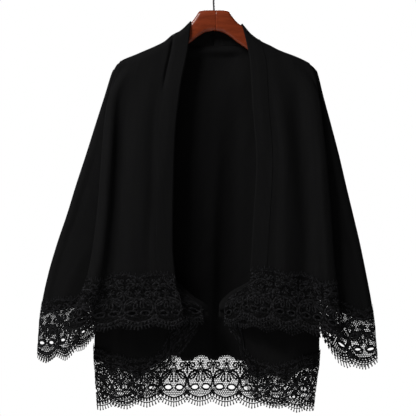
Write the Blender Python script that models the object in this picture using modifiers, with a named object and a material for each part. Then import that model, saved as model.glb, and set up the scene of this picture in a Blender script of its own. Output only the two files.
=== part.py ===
"""Open-front batwing shawl with lace borders, hanging on a wooden clothes hanger."""
import math
from collections import namedtuple

import bmesh
import bpy
import numpy as np
from mathutils import Vector
from mathutils.geometry import delaunay_2d_cdt

MM = 0.001

# Cloth walls, in millimetres.
CLOTH_WALL = 1.6
BAND_WALL = 2.4
LACE_WALL = 1.0
SEAM_GAP = 0.3
SHOULDER_GAP = 0.9
LAP = CLOTH_WALL + 0.9
LACE_STANDOFF = 2.6

# Lace repeat, in millimetres below the cloth edge it is sewn to.
REPEAT = 51.0
LACE_DEPTH = 96.0
EYE_DROP = 59.0
EYE_SPACING = 22.0
EYE_WIDTH = 14.0
EYE_HEIGHT = 11.0
EYE_CORNERS = 8
SCALLOP = 9.0
LACE_LAP = 26.0
ARCH_RISE = 8.0

# How the cloth rounds over the hanger arms.
ROUND_LENGTH = 14.0

# Column of a front at which its neck band ends.
BAND_END = 0.986

# Grid density.
PANEL_ROWS = 15
SLEEVE_ROWS = 15
BACK_ROWS = 15
BAND_ROWS = 17

# Every drop is measured down from the top of the hook's curve, every out from the centre
# plane, and every depth from front (negative) to back (positive). All are millimetres.
Edge = namedtuple("Edge", "drop out")
Fold = namedtuple("Fold", "drop out depth radius")
Seam = namedtuple("Seam", "drop out depth")
Layer = namedtuple("Layer", "drop depth")
Hem = namedtuple("Hem", "column drop")
Slope = namedtuple("Slope", "out drop")
Wave = namedtuple("Wave", "fraction depth")
Arm = namedtuple("Arm", "out top bottom half_thickness")

SHOULDER = {
    "left": [Slope(45, 96), Slope(66, 115.5), Slope(82, 123.5), Slope(96, 135.5),
             Slope(111, 143.5), Slope(150, 160.5), Slope(188, 178), Slope(196.5, 190.5),
             Slope(204, 216)],
    "right": [Slope(54.6, 101), Slope(74, 123), Slope(94, 136.5), Slope(110, 144),
              Slope(125, 152), Slope(168, 169), Slope(193, 183), Slope(201, 192), Slope(209, 218)],
}
FRONT_EDGE = {
    "left": [Edge(95.5, 45), Edge(138, 49), Edge(232, 66), Edge(330, 76), Edge(440, 79),
             Edge(525, 80), Edge(602, 74), Edge(650, 62), Edge(720, 55)],
    "right": [Edge(101, 54.6), Edge(144, 64.5), Edge(174, 70), Edge(252, 74), Edge(369, 82),
              Edge(486, 76), Edge(583, 70), Edge(640, 64), Edge(720, 62)],
}
BAND_WIDTH = [Edge(95, 27), Edge(140, 30), Edge(200, 33), Edge(720, 33)]
FRONT_FOLD = {
    "left": [Fold(170, 168, -10, 0.1), Fold(185, 173, -11, 0.4), Fold(197, 180, -13, 1.0),
             Fold(215, 190, -16, 1.8), Fold(242, 202, -20, 2.4), Fold(265, 207, -23, 3.4),
             Fold(310, 212, -28, 4.8),
             Fold(369, 217, -34, 5.5), Fold(485, 227, -40, 6.0),
             Fold(602, 246, -45, 6.0), Fold(645, 265, -47, 6.2), Fold(720, 290, -48, 6.5)],
    "right": [Fold(170, 170, -10, 0.1), Fold(185, 175, -11, 0.4), Fold(197, 182, -13, 1.0),
              Fold(215, 192, -16, 1.8), Fold(242, 204, -20, 2.4), Fold(265, 208, -23, 3.4),
              Fold(310, 213, -28, 4.8),
              Fold(369, 219, -34, 5.5), Fold(485, 228, -40, 6.0),
              Fold(573, 234, -44, 6.0), Fold(645, 241, -47, 6.2), Fold(720, 250, -48, 6.5)],
}
SIDE_SEAM = {
    "left": [Seam(174, 183, -9), Seam(197, 193, -9.5), Seam(215, 198, -10.5),
             Seam(242, 203, -11), Seam(265, 202, -12), Seam(310, 191, -15),
             Seam(378, 175, -17), Seam(446, 156, -15), Seam(505, 133, -9), Seam(554, 109, -11),
             Seam(602, 74, -12), Seam(636, 38, -12), Seam(655, 12, -12), Seam(700, 6, -12)],
    "right": [Seam(176, 185, -9), Seam(197, 196, -9.5), Seam(215, 201, -10.5),
              Seam(242, 205, -11), Seam(265, 204, -12), Seam(310, 197, -15),
              Seam(378, 186, -17), Seam(446, 167, -15), Seam(505, 144, -9), Seam(554, 113, -11),
              Seam(602, 73, -12), Seam(628, 30, -12), Seam(652, 10, -12), Seam(700, 9, -12)],
}
UNDERARM_DROP = 505.0
UNDERARM = {
    "left": [Seam(505, 133, -6), Seam(560, 168, -8), Seam(622, 203, -10), Seam(717, 234, -12),
             Seam(780, 244, -12)],
    "right": [Seam(505, 144, -6), Seam(560, 172, -8), Seam(622, 192, -10), Seam(721, 213, -12),
              Seam(790, 224, -12)],
}
OUTER_FOLD = {
    "left": [Seam(190, 196.5, 0), Seam(197, 199.5, 0), Seam(242, 213.5, -1), Seam(300, 232, -2),
             Seam(359, 250.5, -3), Seam(417, 269.5, -4), Seam(476, 287.5, -6), Seam(534, 307, -8),
             Seam(593, 324, -10), Seam(651, 336, -12), Seam(710, 343, -12), Seam(758, 345, -12),
             Seam(790, 345, -12)],
    "right": [Seam(192, 200.5, 0), Seam(199, 203, 0), Seam(242, 213.5, -1), Seam(271, 221, -2),
              Seam(300, 229, -2), Seam(359, 244.5, -3), Seam(417, 258, -4), Seam(476, 272, -6),
              Seam(534, 285.5, -8), Seam(593, 297.5, -10), Seam(651, 308, -12),
              Seam(710, 315.5, -12), Seam(768, 320, -12), Seam(800, 321, -12)],
}
BACK_FOLD = {
    "left": [Fold(170, 168, 10, 0.1), Fold(185, 173, 11, 0.4), Fold(197, 180, 13, 1.0),
             Fold(215, 188, 16, 1.8), Fold(242, 199, 20, 2.4), Fold(265, 204, 23, 3.4),
             Fold(310, 208, 26, 5.0), Fold(369, 212, 29, 7.0), Fold(485, 222, 31, 8.0),
             Fold(560, 227, 34, 11.0), Fold(641, 232, 36, 14.0), Fold(716, 234, 37, 15.0),
             Fold(870, 228, 37, 15.0)],
    "right": [Fold(170, 170, 10, 0.1), Fold(185, 175, 11, 0.4), Fold(197, 182, 13, 1.0),
              Fold(215, 190, 16, 1.8), Fold(242, 200, 20, 2.4), Fold(265, 203, 23, 3.4),
              Fold(310, 205, 26, 5.0), Fold(369, 207, 29, 7.0), Fold(485, 208, 31, 8.0),
              Fold(560, 208, 34, 11.0), Fold(641, 208, 36, 14.0), Fold(729, 207, 37, 15.0),
              Fold(870, 194, 37, 15.0)],
}

FRONT_LAYER = [Layer(95, -9.5), Layer(150, -11), Layer(200, -15), Layer(252, -20),
               Layer(310, -26), Layer(378, -32), Layer(446, -36), Layer(554, -41),
               Layer(650, -45), Layer(720, -46)]
EDGE_LAYER = [Layer(95, -9.5), Layer(150, -12), Layer(200, -16), Layer(252, -20),
              Layer(310, -24), Layer(378, -28), Layer(446, -31), Layer(554, -36),
              Layer(650, -41), Layer(720, -42)]
SLEEVE_FRONT = [Layer(174, -7), Layer(200, -7.5), Layer(252, -8.5), Layer(310, -11),
                 Layer(378, -12), Layer(446, -12), Layer(505, -12), Layer(560, -16),
                Layer(622, -21), Layer(700, -26), Layer(780, -26)]
SLEEVE_BACK = [Layer(174, 7), Layer(200, 7.5), Layer(252, 8.5), Layer(310, 9), Layer(378, 9),
               Layer(446, 8), Layer(505, 6), Layer(560, 4), Layer(622, 2), Layer(700, 1),
               Layer(780, 1)]
SLEEVE_BACK_SEAM = [Layer(174, 7), Layer(215, 7), Layer(252, 9), Layer(310, 10),
                    Layer(378, 7), Layer(446, 2), Layer(505, -5), Layer(520, -6)]
BACK_SEAM = [Layer(174, 9.5), Layer(215, 10), Layer(252, 11.5), Layer(310, 12.5),
             Layer(378, 9), Layer(446, 4), Layer(505, -3), Layer(554, -9), Layer(602, -10),
             Layer(700, -10)]
BACK_LAYER = [Layer(95, 11), Layer(143, 19), Layer(200, 20), Layer(252, 22), Layer(310, 25),
              Layer(378, 28), Layer(446, 31), Layer(554, 34), Layer(650, 36), Layer(870, 37)]

# The back's own standing folds: how far each stands out of its plain run at the hem.
BACK_WAVES = [Wave(0.14, 3), Wave(0.27, 5), Wave(0.37, -9), Wave(0.45, -12), Wave(0.51, 0),
              Wave(0.56, 13), Wave(0.67, 8), Wave(0.82, 0)]
WAVE_START = 200.0
WAVE_FULL = 640.0

# Hems, by column along each panel from its front edge or side seam.
FRONT_HEM = {
    "left": [Hem(0, 612), Hem(2, 612), Hem(3, 616), Hem(4, 622), Hem(5, 622), Hem(6, 620),
             Hem(7, 630), Hem(8, 662)],
    "right": [Hem(0, 598), Hem(2, 610), Hem(3, 620), Hem(4, 628), Hem(5, 630), Hem(6, 628),
              Hem(7, 636), Hem(8, 662)],
}
FRONT_LACE_END = {
    "left": [Hem(0, 698), Hem(2, 700), Hem(3, 705), Hem(4, 714), Hem(5, 712), Hem(6, 706),
             Hem(7, 696), Hem(8, 682)],
    "right": [Hem(0, 690), Hem(2, 700), Hem(3, 710), Hem(4, 720), Hem(5, 722), Hem(6, 716),
              Hem(7, 706), Hem(8, 690)],
}
BACK_HEM = {
    "left": [Hem(0, 662), Hem(0.3, 671), Hem(0.6, 700), Hem(0.83, 722), Hem(1.05, 760),
             Hem(1.27, 777), Hem(1.56, 784), Hem(1.78, 772), Hem(2, 766), Hem(3, 760),
             Hem(4, 753), Hem(5, 747), Hem(7, 745)],
    "right": [Hem(0, 664), Hem(0.35, 678), Hem(0.52, 702), Hem(0.66, 764), Hem(0.97, 786),
              Hem(1.55, 790), Hem(1.9, 778), Hem(2, 774), Hem(3, 764), Hem(4, 755),
              Hem(5, 748), Hem(7, 745)],
}
BACK_LACE_END = {
    "left": [Hem(0, 682), Hem(0.3, 712), Hem(0.6, 745), Hem(0.8, 770), Hem(0.97, 806),
             Hem(1.22, 836), Hem(1.56, 854), Hem(2, 860), Hem(3, 860), Hem(4, 856),
             Hem(5, 850), Hem(7, 846)],
    "right": [Hem(0, 700), Hem(0.35, 715), Hem(0.52, 740), Hem(0.66, 806), Hem(0.97, 848),
              Hem(1.55, 858), Hem(2, 864), Hem(3, 866), Hem(4, 860), Hem(5, 852),
              Hem(7, 846)],
}
CUFF_HEM = {
    "left": [Hem(0, 632), Hem(1, 652), Hem(2, 664), Hem(4, 665), Hem(6, 664), Hem(7, 652),
             Hem(8, 632)],
    "right": [Hem(0, 634), Hem(1, 664), Hem(2, 680), Hem(4, 678), Hem(6, 680), Hem(7, 664),
              Hem(8, 634)],
}
CUFF_LACE_END = {
    "left": [Hem(0, 724), Hem(1, 757), Hem(2, 766), Hem(4, 763), Hem(6, 763), Hem(7, 752),
             Hem(8, 721)],
    "right": [Hem(0, 730), Hem(1, 771), Hem(2, 785), Hem(4, 780), Hem(6, 782), Hem(7, 766),
              Hem(8, 727)],
}

# Hanger, in millimetres. The joint of its two halves is a little right of the hook.
JOINT_OUT = 2.0
ARM_LIFT = {"left": 1.18, "right": 3.3}
HANGER_ARM = [Arm(0, 74.5, 115, 7.6), Arm(14, 74.6, 117, 7.6), Arm(28, 76.5, 124, 7.4),
              Arm(36, 88, 130, 7.0), Arm(46, 101.5, 138, 6.6), Arm(55, 109, 144, 6.3),
              Arm(74, 129, 157, 6.0), Arm(94, 142, 168, 5.8), Arm(125, 157.5, 181, 5.6),
              Arm(160, 172.5, 191, 5.4), Arm(180, 181.5, 197, 5.0), Arm(188, 188, 199, 3.6)]
HOOK_WIRE = 1.8
HOOK_RADIUS = 19.0
HOOK_SHANK_END = 74.7

SIDES = {"left": -1.0, "right": 1.0}


def read(table, position, column="depth", key="drop"):
    """Smooth value of one column of a table at a position along its key."""
    keys = [getattr(row, key) for row in table]
    values = [getattr(row, column) for row in table]
    return smooth_value(keys, values, position)


def slope_at(keys, values, index):
    low = max(index - 1, 0)
    high = min(index + 1, len(keys) - 1)
    if index in (0, len(keys) - 1):
        return (values[high] - values[low]) / (keys[high] - keys[low])
    before = (values[index] - values[low]) / (keys[index] - keys[low])
    after = (values[high] - values[index]) / (keys[high] - keys[index])
    if before * after <= 0:
        return 0.0
    return 2 * before * after / (before + after)


def smooth_value(keys, values, position):
    """Monotone cubic between the rows, level beyond both ends."""
    if position <= keys[0]:
        return float(values[0])
    if position >= keys[-1]:
        return float(values[-1])
    index = int(np.searchsorted(keys, position, side="right")) - 1
    span = keys[index + 1] - keys[index]
    part = (position - keys[index]) / span
    start = slope_at(keys, values, index) * span
    end = slope_at(keys, values, index + 1) * span
    low = values[index]
    high = values[index + 1]
    return (low * (1 + 2 * part) * (1 - part) ** 2 + start * part * (1 - part) ** 2
            + high * part ** 2 * (3 - 2 * part) + end * part ** 2 * (part - 1))


def mix(first, second, part):
    return first + (second - first) * part


def ease(part):
    part = min(max(part, 0.0), 1.0)
    return part * part * (3 - 2 * part)


def path_point(points, position):
    """Point of a smooth plan curve through control points, one unit of position apart."""
    last = len(points) - 1
    position = min(max(position, 0.0), float(last))
    index = min(int(position), last - 1)
    part = position - index
    here = np.array(points[index], float)
    there = np.array(points[index + 1], float)
    step = max(np.linalg.norm(there - here), 1e-6)

    def tangent(at):
        if at == 0 or at == last:
            other = 1 if at == 0 else last - 1
            away = np.array(points[other], float) - np.array(points[at], float)
            if at == last:
                away = -away
            return away / max(np.linalg.norm(away), 1e-6) * step
        before = np.array(points[at], float) - np.array(points[at - 1], float)
        after = np.array(points[at + 1], float) - np.array(points[at], float)
        size_before = max(np.linalg.norm(before), 1e-6)
        size_after = max(np.linalg.norm(after), 1e-6)
        blend = (before / size_before * size_after + after / size_after * size_before)
        return blend / (size_before + size_after) * step

    start = tangent(index)
    end = tangent(index + 1)
    return (here * (1 + 2 * part) * (1 - part) ** 2 + start * part * (1 - part) ** 2
            + there * part ** 2 * (3 - 2 * part) + end * part ** 2 * (part - 1))


def front_plan(side, drop):
    """Control points of a front across its band, its face, its fold and its hidden return."""
    edge = read(FRONT_EDGE[side], drop, "out")
    band = read(BAND_WIDTH, drop, "out")
    fold = read(FRONT_FOLD[side], drop, "out")
    fold_depth = read(FRONT_FOLD[side], drop, "depth")
    radius = read(FRONT_FOLD[side], drop, "radius")
    seam = read(SIDE_SEAM[side], drop, "out")
    seam_depth = read(SIDE_SEAM[side], drop, "depth")
    face = read(FRONT_LAYER, drop)
    hollow = 4.0 * ease((drop - 210) / 150)
    turn = fold - seam
    inner = min(2.2 * radius, 0.35 * turn)
    back_depth = fold_depth + 2 * radius
    settled = ease(abs(turn) / 30)
    return [
        (edge, read(EDGE_LAYER, drop)),
        (edge + band, mix(read(EDGE_LAYER, drop), face, 0.6)),
        (mix(edge + band, fold, 0.36), face),
        (mix(edge + band, fold, 0.74), face + hollow),
        (fold - max(2.2 * radius, 4.0), fold_depth),
        (fold, fold_depth + radius),
        (fold - inner, back_depth),
        (mix(fold - inner, seam, 0.55), mix(back_depth, seam_depth - 1, mix(0.5, 0.25, settled))),
        (seam, seam_depth),
    ]


def sleeve_plan(side, drop):
    """Control points of a sleeve from its front seam round its outer fold to its back seam."""
    outer = read(OUTER_FOLD[side], drop, "out")
    outer_depth = read(OUTER_FOLD[side], drop, "depth")
    front = read(SLEEVE_FRONT, drop)
    back = read(SLEEVE_BACK, drop)
    if drop <= UNDERARM_DROP:
        inner = read(SIDE_SEAM[side], drop, "out")
        front_start = read(SIDE_SEAM[side], drop, "depth") + LAP
        back_start = read(SLEEVE_BACK_SEAM, drop)
    else:
        inner = read(UNDERARM[side], drop, "out")
        front_start = read(UNDERARM[side], drop, "depth") - LAP / 2
        back_start = read(UNDERARM[side], drop, "depth") + LAP / 2
    width = outer - inner
    turn = min(22.0, max(0.36 * width, min(4.5, 0.75 * width)))
    return [
        (inner, front_start),
        (mix(inner, outer - turn, 0.53), front),
        (outer - turn, front),
        (outer - 0.24 * turn, mix(outer_depth, front, 0.66)),
        (outer, outer_depth),
        (outer - 0.24 * turn, mix(outer_depth, back, 0.66)),
        (outer - turn, back),
        (mix(inner, outer - turn, 0.53), back),
        (inner, back_start),
    ]


def back_half(side, drop):
    """Side seam, hidden return and fold of the back, on one side."""
    seam = read(SIDE_SEAM[side], drop, "out")
    seam_depth = read(BACK_SEAM, drop)
    fold = read(BACK_FOLD[side], drop, "out")
    fold_depth = read(BACK_FOLD[side], drop, "depth")
    radius = read(BACK_FOLD[side], drop, "radius")
    turn = fold - seam
    inner = min(1.6 * radius, 0.35 * turn)
    hidden = fold_depth - 2 * radius
    settled = ease(abs(turn) / 30)
    return [
        (seam, seam_depth),
        (mix(seam, fold - inner, 0.45), mix(hidden, seam_depth + 1, mix(0.5, 0.25, settled))),
        (fold - inner, hidden),
        (fold, fold_depth - radius),
        (fold - max(min(1.6 * radius, 0.2 * fold), 4.0), fold_depth),
    ]


def back_plan(drop):
    """Control points of the whole back, from its left side seam to its right one."""
    left = [(-out, depth) for out, depth in back_half("left", drop)]
    right = [(out, depth) for out, depth in back_half("right", drop)]
    start = left[-1]
    end = right[-1]
    strength = ease((drop - WAVE_START) / (WAVE_FULL - WAVE_START))
    plain = read(BACK_LAYER, drop)
    middle = []
    for wave in BACK_WAVES:
        out = mix(start[0], end[0], wave.fraction)
        middle.append((out, plain + wave.depth * strength))
    return left + middle + right[::-1]


BACK_MIDDLE = 5 + (len(BACK_WAVES) - 1) / 2.0
BACK_LAST = 9 + len(BACK_WAVES)


def shoulder_drop(side, out):
    return read(SHOULDER[side], out, "drop", "out")


NECK_DEPTH = 19.0
NECK_DROP = 143.0
NECK_TOP_DEPTH = 15.5
NECK_TOP_DROP = 109.0
NECK_SEAM_GAP = 0.5
NECK_SHARES = (1.0, 0.99, 0.965, 0.92, 0.84, 0.7, 0.5, 0.25, 0.0)


def neck_run(reach, shoulder, depth, drop, angle):
    """Point of a curve from the shoulder over the arm and round to the centre back."""
    out = reach * max(math.cos(angle), 0.0) ** 0.45
    return out, depth * math.sin(angle) ** 0.8, mix(shoulder, drop, math.sin(angle) ** 2)


def neck_angle(share):
    """Angle of that curve at a share of its reach."""
    return math.acos(min(max(share, 0.0), 1.0) ** (1 / 0.45))


def column_top(plan, column, top_drop):
    """Drop at which a column meets the shoulder line, found by stepping toward it."""
    drop = 150.0
    for _ in range(12):
        point = path_point(plan(drop), column)
        drop = mix(drop, top_drop(point[0]), 0.8)
    return drop


def over_arm(part):
    """Share of its full depth that the cloth has reached below the shoulder line."""
    part = min(max(part, 0.0), 1.0)
    return math.sqrt(max(1 - (1 - part) ** 2, 0.0))


def grid_rows(top, bottom, rows):
    """Drops down one column, closer together where the cloth rounds over the arm."""
    drops = []
    for row in range(rows + 1):
        part = row / rows
        if row == 0:
            drops.append(top)
        elif row == 1:
            drops.append(top + 1.2)
        elif row == 2:
            drops.append(top + 5.0)
        elif row == 3:
            drops.append(top + ROUND_LENGTH)
        else:
            part = ((row - 3) / (rows - 3)) ** 1.35
            drops.append(mix(top + ROUND_LENGTH, bottom, part))
    return drops


def new_object(name, mesh_vertices, faces, material):
    """Mesh object in the shawl's collection, from vertices in millimetres."""
    mesh = bpy.data.meshes.new(name)
    scaled = [(x * MM, y * MM, z * MM) for x, y, z in mesh_vertices]
    mesh.from_pydata(scaled, [], faces)
    work = bmesh.new()
    work.from_mesh(mesh)
    bmesh.ops.remove_doubles(work, verts=work.verts, dist=0.00002)
    work.to_mesh(mesh)
    work.free()
    mesh.materials.append(material)
    item = bpy.data.objects.new(name, mesh)
    COLLECTION.objects.link(item)
    return item


def add_wall(item, thickness):
    """Gives an open sheet its wall, equally on both of its faces."""
    wall = item.modifiers.new("Wall", "SOLIDIFY")
    wall.thickness = thickness * MM
    wall.offset = 0.0
    wall.use_even_offset = False
    wall.use_quality_normals = True
    return item


def sheet_object(name, grid, material, wall):
    """Sheet from a grid of points, columns by rows, with a wall."""
    columns = len(grid)
    rows = len(grid[0])
    vertices = [point for column in grid for point in column]
    faces = []
    for column in range(columns - 1):
        for row in range(rows - 1):
            corner = column * rows + row
            faces.append((corner, corner + rows, corner + rows + 1, corner + 1))
    return add_wall(new_object(name, vertices, faces, material), wall)


def front_point(side, column, drop, top):
    sign = SIDES[side]
    out, depth = path_point(front_plan(side, drop), column)
    share = over_arm((drop - top) / ROUND_LENGTH)
    base = -SHOULDER_GAP / 2
    return (sign * out, mix(base, depth, share), -drop)


def front_top(side, column):
    return column_top(lambda drop: front_plan(side, drop), column,
                      lambda out: shoulder_drop(side, out))


def find_neck_corner(side):
    """Where the neck band's outer edge crosses the shoulder line."""
    top = front_top(side, BAND_END)
    return path_point(front_plan(side, top), BAND_END)[0], top


def neck_corner(side):
    return NECK_CORNERS[side]


def make_front(side):
    """One front from the band's seam to the side seam, its fold and return included."""
    columns = [BAND_END + 0.024, 1.35, 1.7, 2, 2.35, 2.7, 3, 3.3, 3.6, 3.85, 4, 4.33, 4.67,
               5, 5.33, 5.67, 6, 6.5, 7, 7.5, 8]
    grid = []
    for column in columns:
        top = front_top(side, column)
        bottom = read(FRONT_HEM[side], column, "drop", "column")
        grid.append([front_point(side, column, drop, top)
                     for drop in grid_rows(top, bottom, PANEL_ROWS)])
    return sheet_object("front_" + side, grid, KNIT, CLOTH_WALL)


def sleeve_top(side, column):
    mirrored = min(column, 8 - column)
    return column_top(lambda drop: sleeve_plan(side, drop), mirrored,
                      lambda out: shoulder_drop(side, out)) + LAP


def sleeve_point(side, column, drop, top):
    sign = SIDES[side]
    out, depth = path_point(sleeve_plan(side, drop), column)
    outer_depth = read(OUTER_FOLD[side], drop, "depth")
    share = over_arm((drop - top) / ROUND_LENGTH)
    return (sign * out, mix(outer_depth, depth, share), -drop)


def make_sleeve(side):
    """Hanging sleeve, one cloth round its outer fold, open at the cuff."""
    columns = [0, 0.4, 0.8, 1.2, 1.6, 2, 2.4, 2.7, 3, 3.5, 4, 4.5, 5, 5.3, 5.6, 6, 6.4, 6.8,
               7.2, 7.6, 8]
    grid = []
    for column in columns:
        top = sleeve_top(side, column)
        bottom = read(CUFF_HEM[side], column, "drop", "column")
        grid.append([sleeve_point(side, column, drop, top)
                     for drop in grid_rows(top, bottom, SLEEVE_ROWS)])
    count = len(grid)
    for index in range(count // 2):
        start = grid[index][0]
        other = grid[count - 1 - index][0]
        shared = tuple((a + b) / 2 for a, b in zip(start, other))
        grid[index][0] = (shared[0], grid[count // 2][0][1], shared[2])
        grid[count - 1 - index][0] = grid[index][0]
    return sheet_object("sleeve_" + side, grid, KNIT, CLOTH_WALL)


def back_top_drop(out):
    """Neck curve of the back in the middle, shoulder line on both sides."""
    side = "left" if out < 0 else "right"
    corner_out, corner_drop = neck_corner(side)
    reach = abs(out)
    corner_out += NECK_SEAM_GAP
    if reach >= corner_out:
        return shoulder_drop(side, reach)
    angle = neck_angle(reach / corner_out)
    return neck_run(corner_out, corner_drop, NECK_DEPTH, NECK_DROP, angle)[2] + NECK_SEAM_GAP


def back_side(column):
    return "left" if column < BACK_MIDDLE else "right"


def side_column(column):
    """Hem table column of a back column, counted from the nearer side seam."""
    return column if column < BACK_MIDDLE else BACK_LAST - column


def hem_column(column):
    """Same, with the waves of the middle stretched over the table's last columns."""
    near = side_column(column)
    if near <= 4:
        return near
    return 4 + (near - 4) / (BACK_MIDDLE - 4) * 3


def back_hem_drop(table, column):
    return read(table[back_side(column)], hem_column(column), "drop", "column")


def back_top(column):
    return column_top(back_plan, column, back_top_drop)


def back_point(column, drop, top):
    out, depth = path_point(back_plan(drop), column)
    side = "left" if out < 0 else "right"
    corner_out, _ = neck_corner(side)
    angle = neck_angle(abs(out) / (corner_out + NECK_SEAM_GAP))
    base = SHOULDER_GAP / 2 + neck_run(corner_out, 0.0, NECK_DEPTH, 0.0, angle)[1]
    share = over_arm((drop - top) / ROUND_LENGTH)
    return (out, mix(base, depth, share), -drop)


def back_column_at(out):
    """Back column whose top lies at a signed distance out, found by halving."""
    low = 4.0
    high = BACK_LAST - 4.0
    for _ in range(16):
        column = (low + high) / 2
        top = back_top(column)
        if path_point(back_plan(top), column)[0] < out:
            low = column
        else:
            high = column
    return (low + high) / 2


def back_columns():
    """Columns of the back, with one below each corner of the neck band's edge."""
    half = [0, 0.3, 0.55, 0.7, 0.83, 1.05, 1.3, 1.6, 2, 2.35, 2.7, 3, 3.3, 3.65, 4]
    left = neck_corner("left")[0] + NECK_SEAM_GAP
    right = neck_corner("right")[0] + NECK_SEAM_GAP
    neck = [back_column_at(-left * share) for share in NECK_SHARES]
    neck += [back_column_at(right * share) for share in NECK_SHARES[-2::-1]]
    sides = [4.5, 5.0, BACK_LAST - 5.0, BACK_LAST - 4.5]
    mirrored = [BACK_LAST - column for column in half]
    return sorted(half + sides + neck + mirrored)


def make_back():
    """The back with its two forward folded sides."""
    grid = []
    for column in back_columns():
        top = back_top(column)
        bottom = back_hem_drop(BACK_HEM, column)
        grid.append([back_point(column, drop, top)
                     for drop in grid_rows(top, bottom, BACK_ROWS)])
    return sheet_object("back", grid, KNIT, CLOTH_WALL)


def make_band(side):
    """Half of the neck band: up one front edge, over the shoulder, to the centre back."""
    sign = SIDES[side]
    columns = [0.0, 0.33, 0.66, BAND_END]
    corner_out, corner_drop = neck_corner(side)
    grid = []
    for column in columns:
        top = front_top(side, column)
        bottom = read(FRONT_HEM[side], column, "drop", "column")
        drops = grid_rows(top, bottom, BAND_ROWS)
        front = [front_point(side, column, drop, top) for drop in reversed(drops)]
        shoulder = front[-1]
        reach = abs(shoulder[0])
        middle_drop = mix(NECK_TOP_DROP, NECK_DROP, column)
        middle_depth = mix(NECK_TOP_DEPTH, NECK_DEPTH, column)
        run = []
        for share in NECK_SHARES[1:]:
            angle = neck_angle(share)
            out, depth, drop = neck_run(reach, -shoulder[2], middle_depth, middle_drop, angle)
            run.append((sign * max(out, SEAM_GAP / 2), depth, -drop))
        front[-1] = (shoulder[0], 0.0, shoulder[2])
        grid.append(front + run)
    return sheet_object("neck_band_" + side, grid, BAND_KNIT, BAND_WALL)


def lace_outward(plan, column, last, drop, facing):
    """Unit plan direction out of the cloth's right side."""
    step = 0.02
    before = path_point(plan(drop), max(column - step, 0))
    after = path_point(plan(drop), min(column + step, last))
    run = after - before
    run = run / max(np.linalg.norm(run), 1e-9)
    return np.array((run[1], -run[0])) * facing


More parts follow.
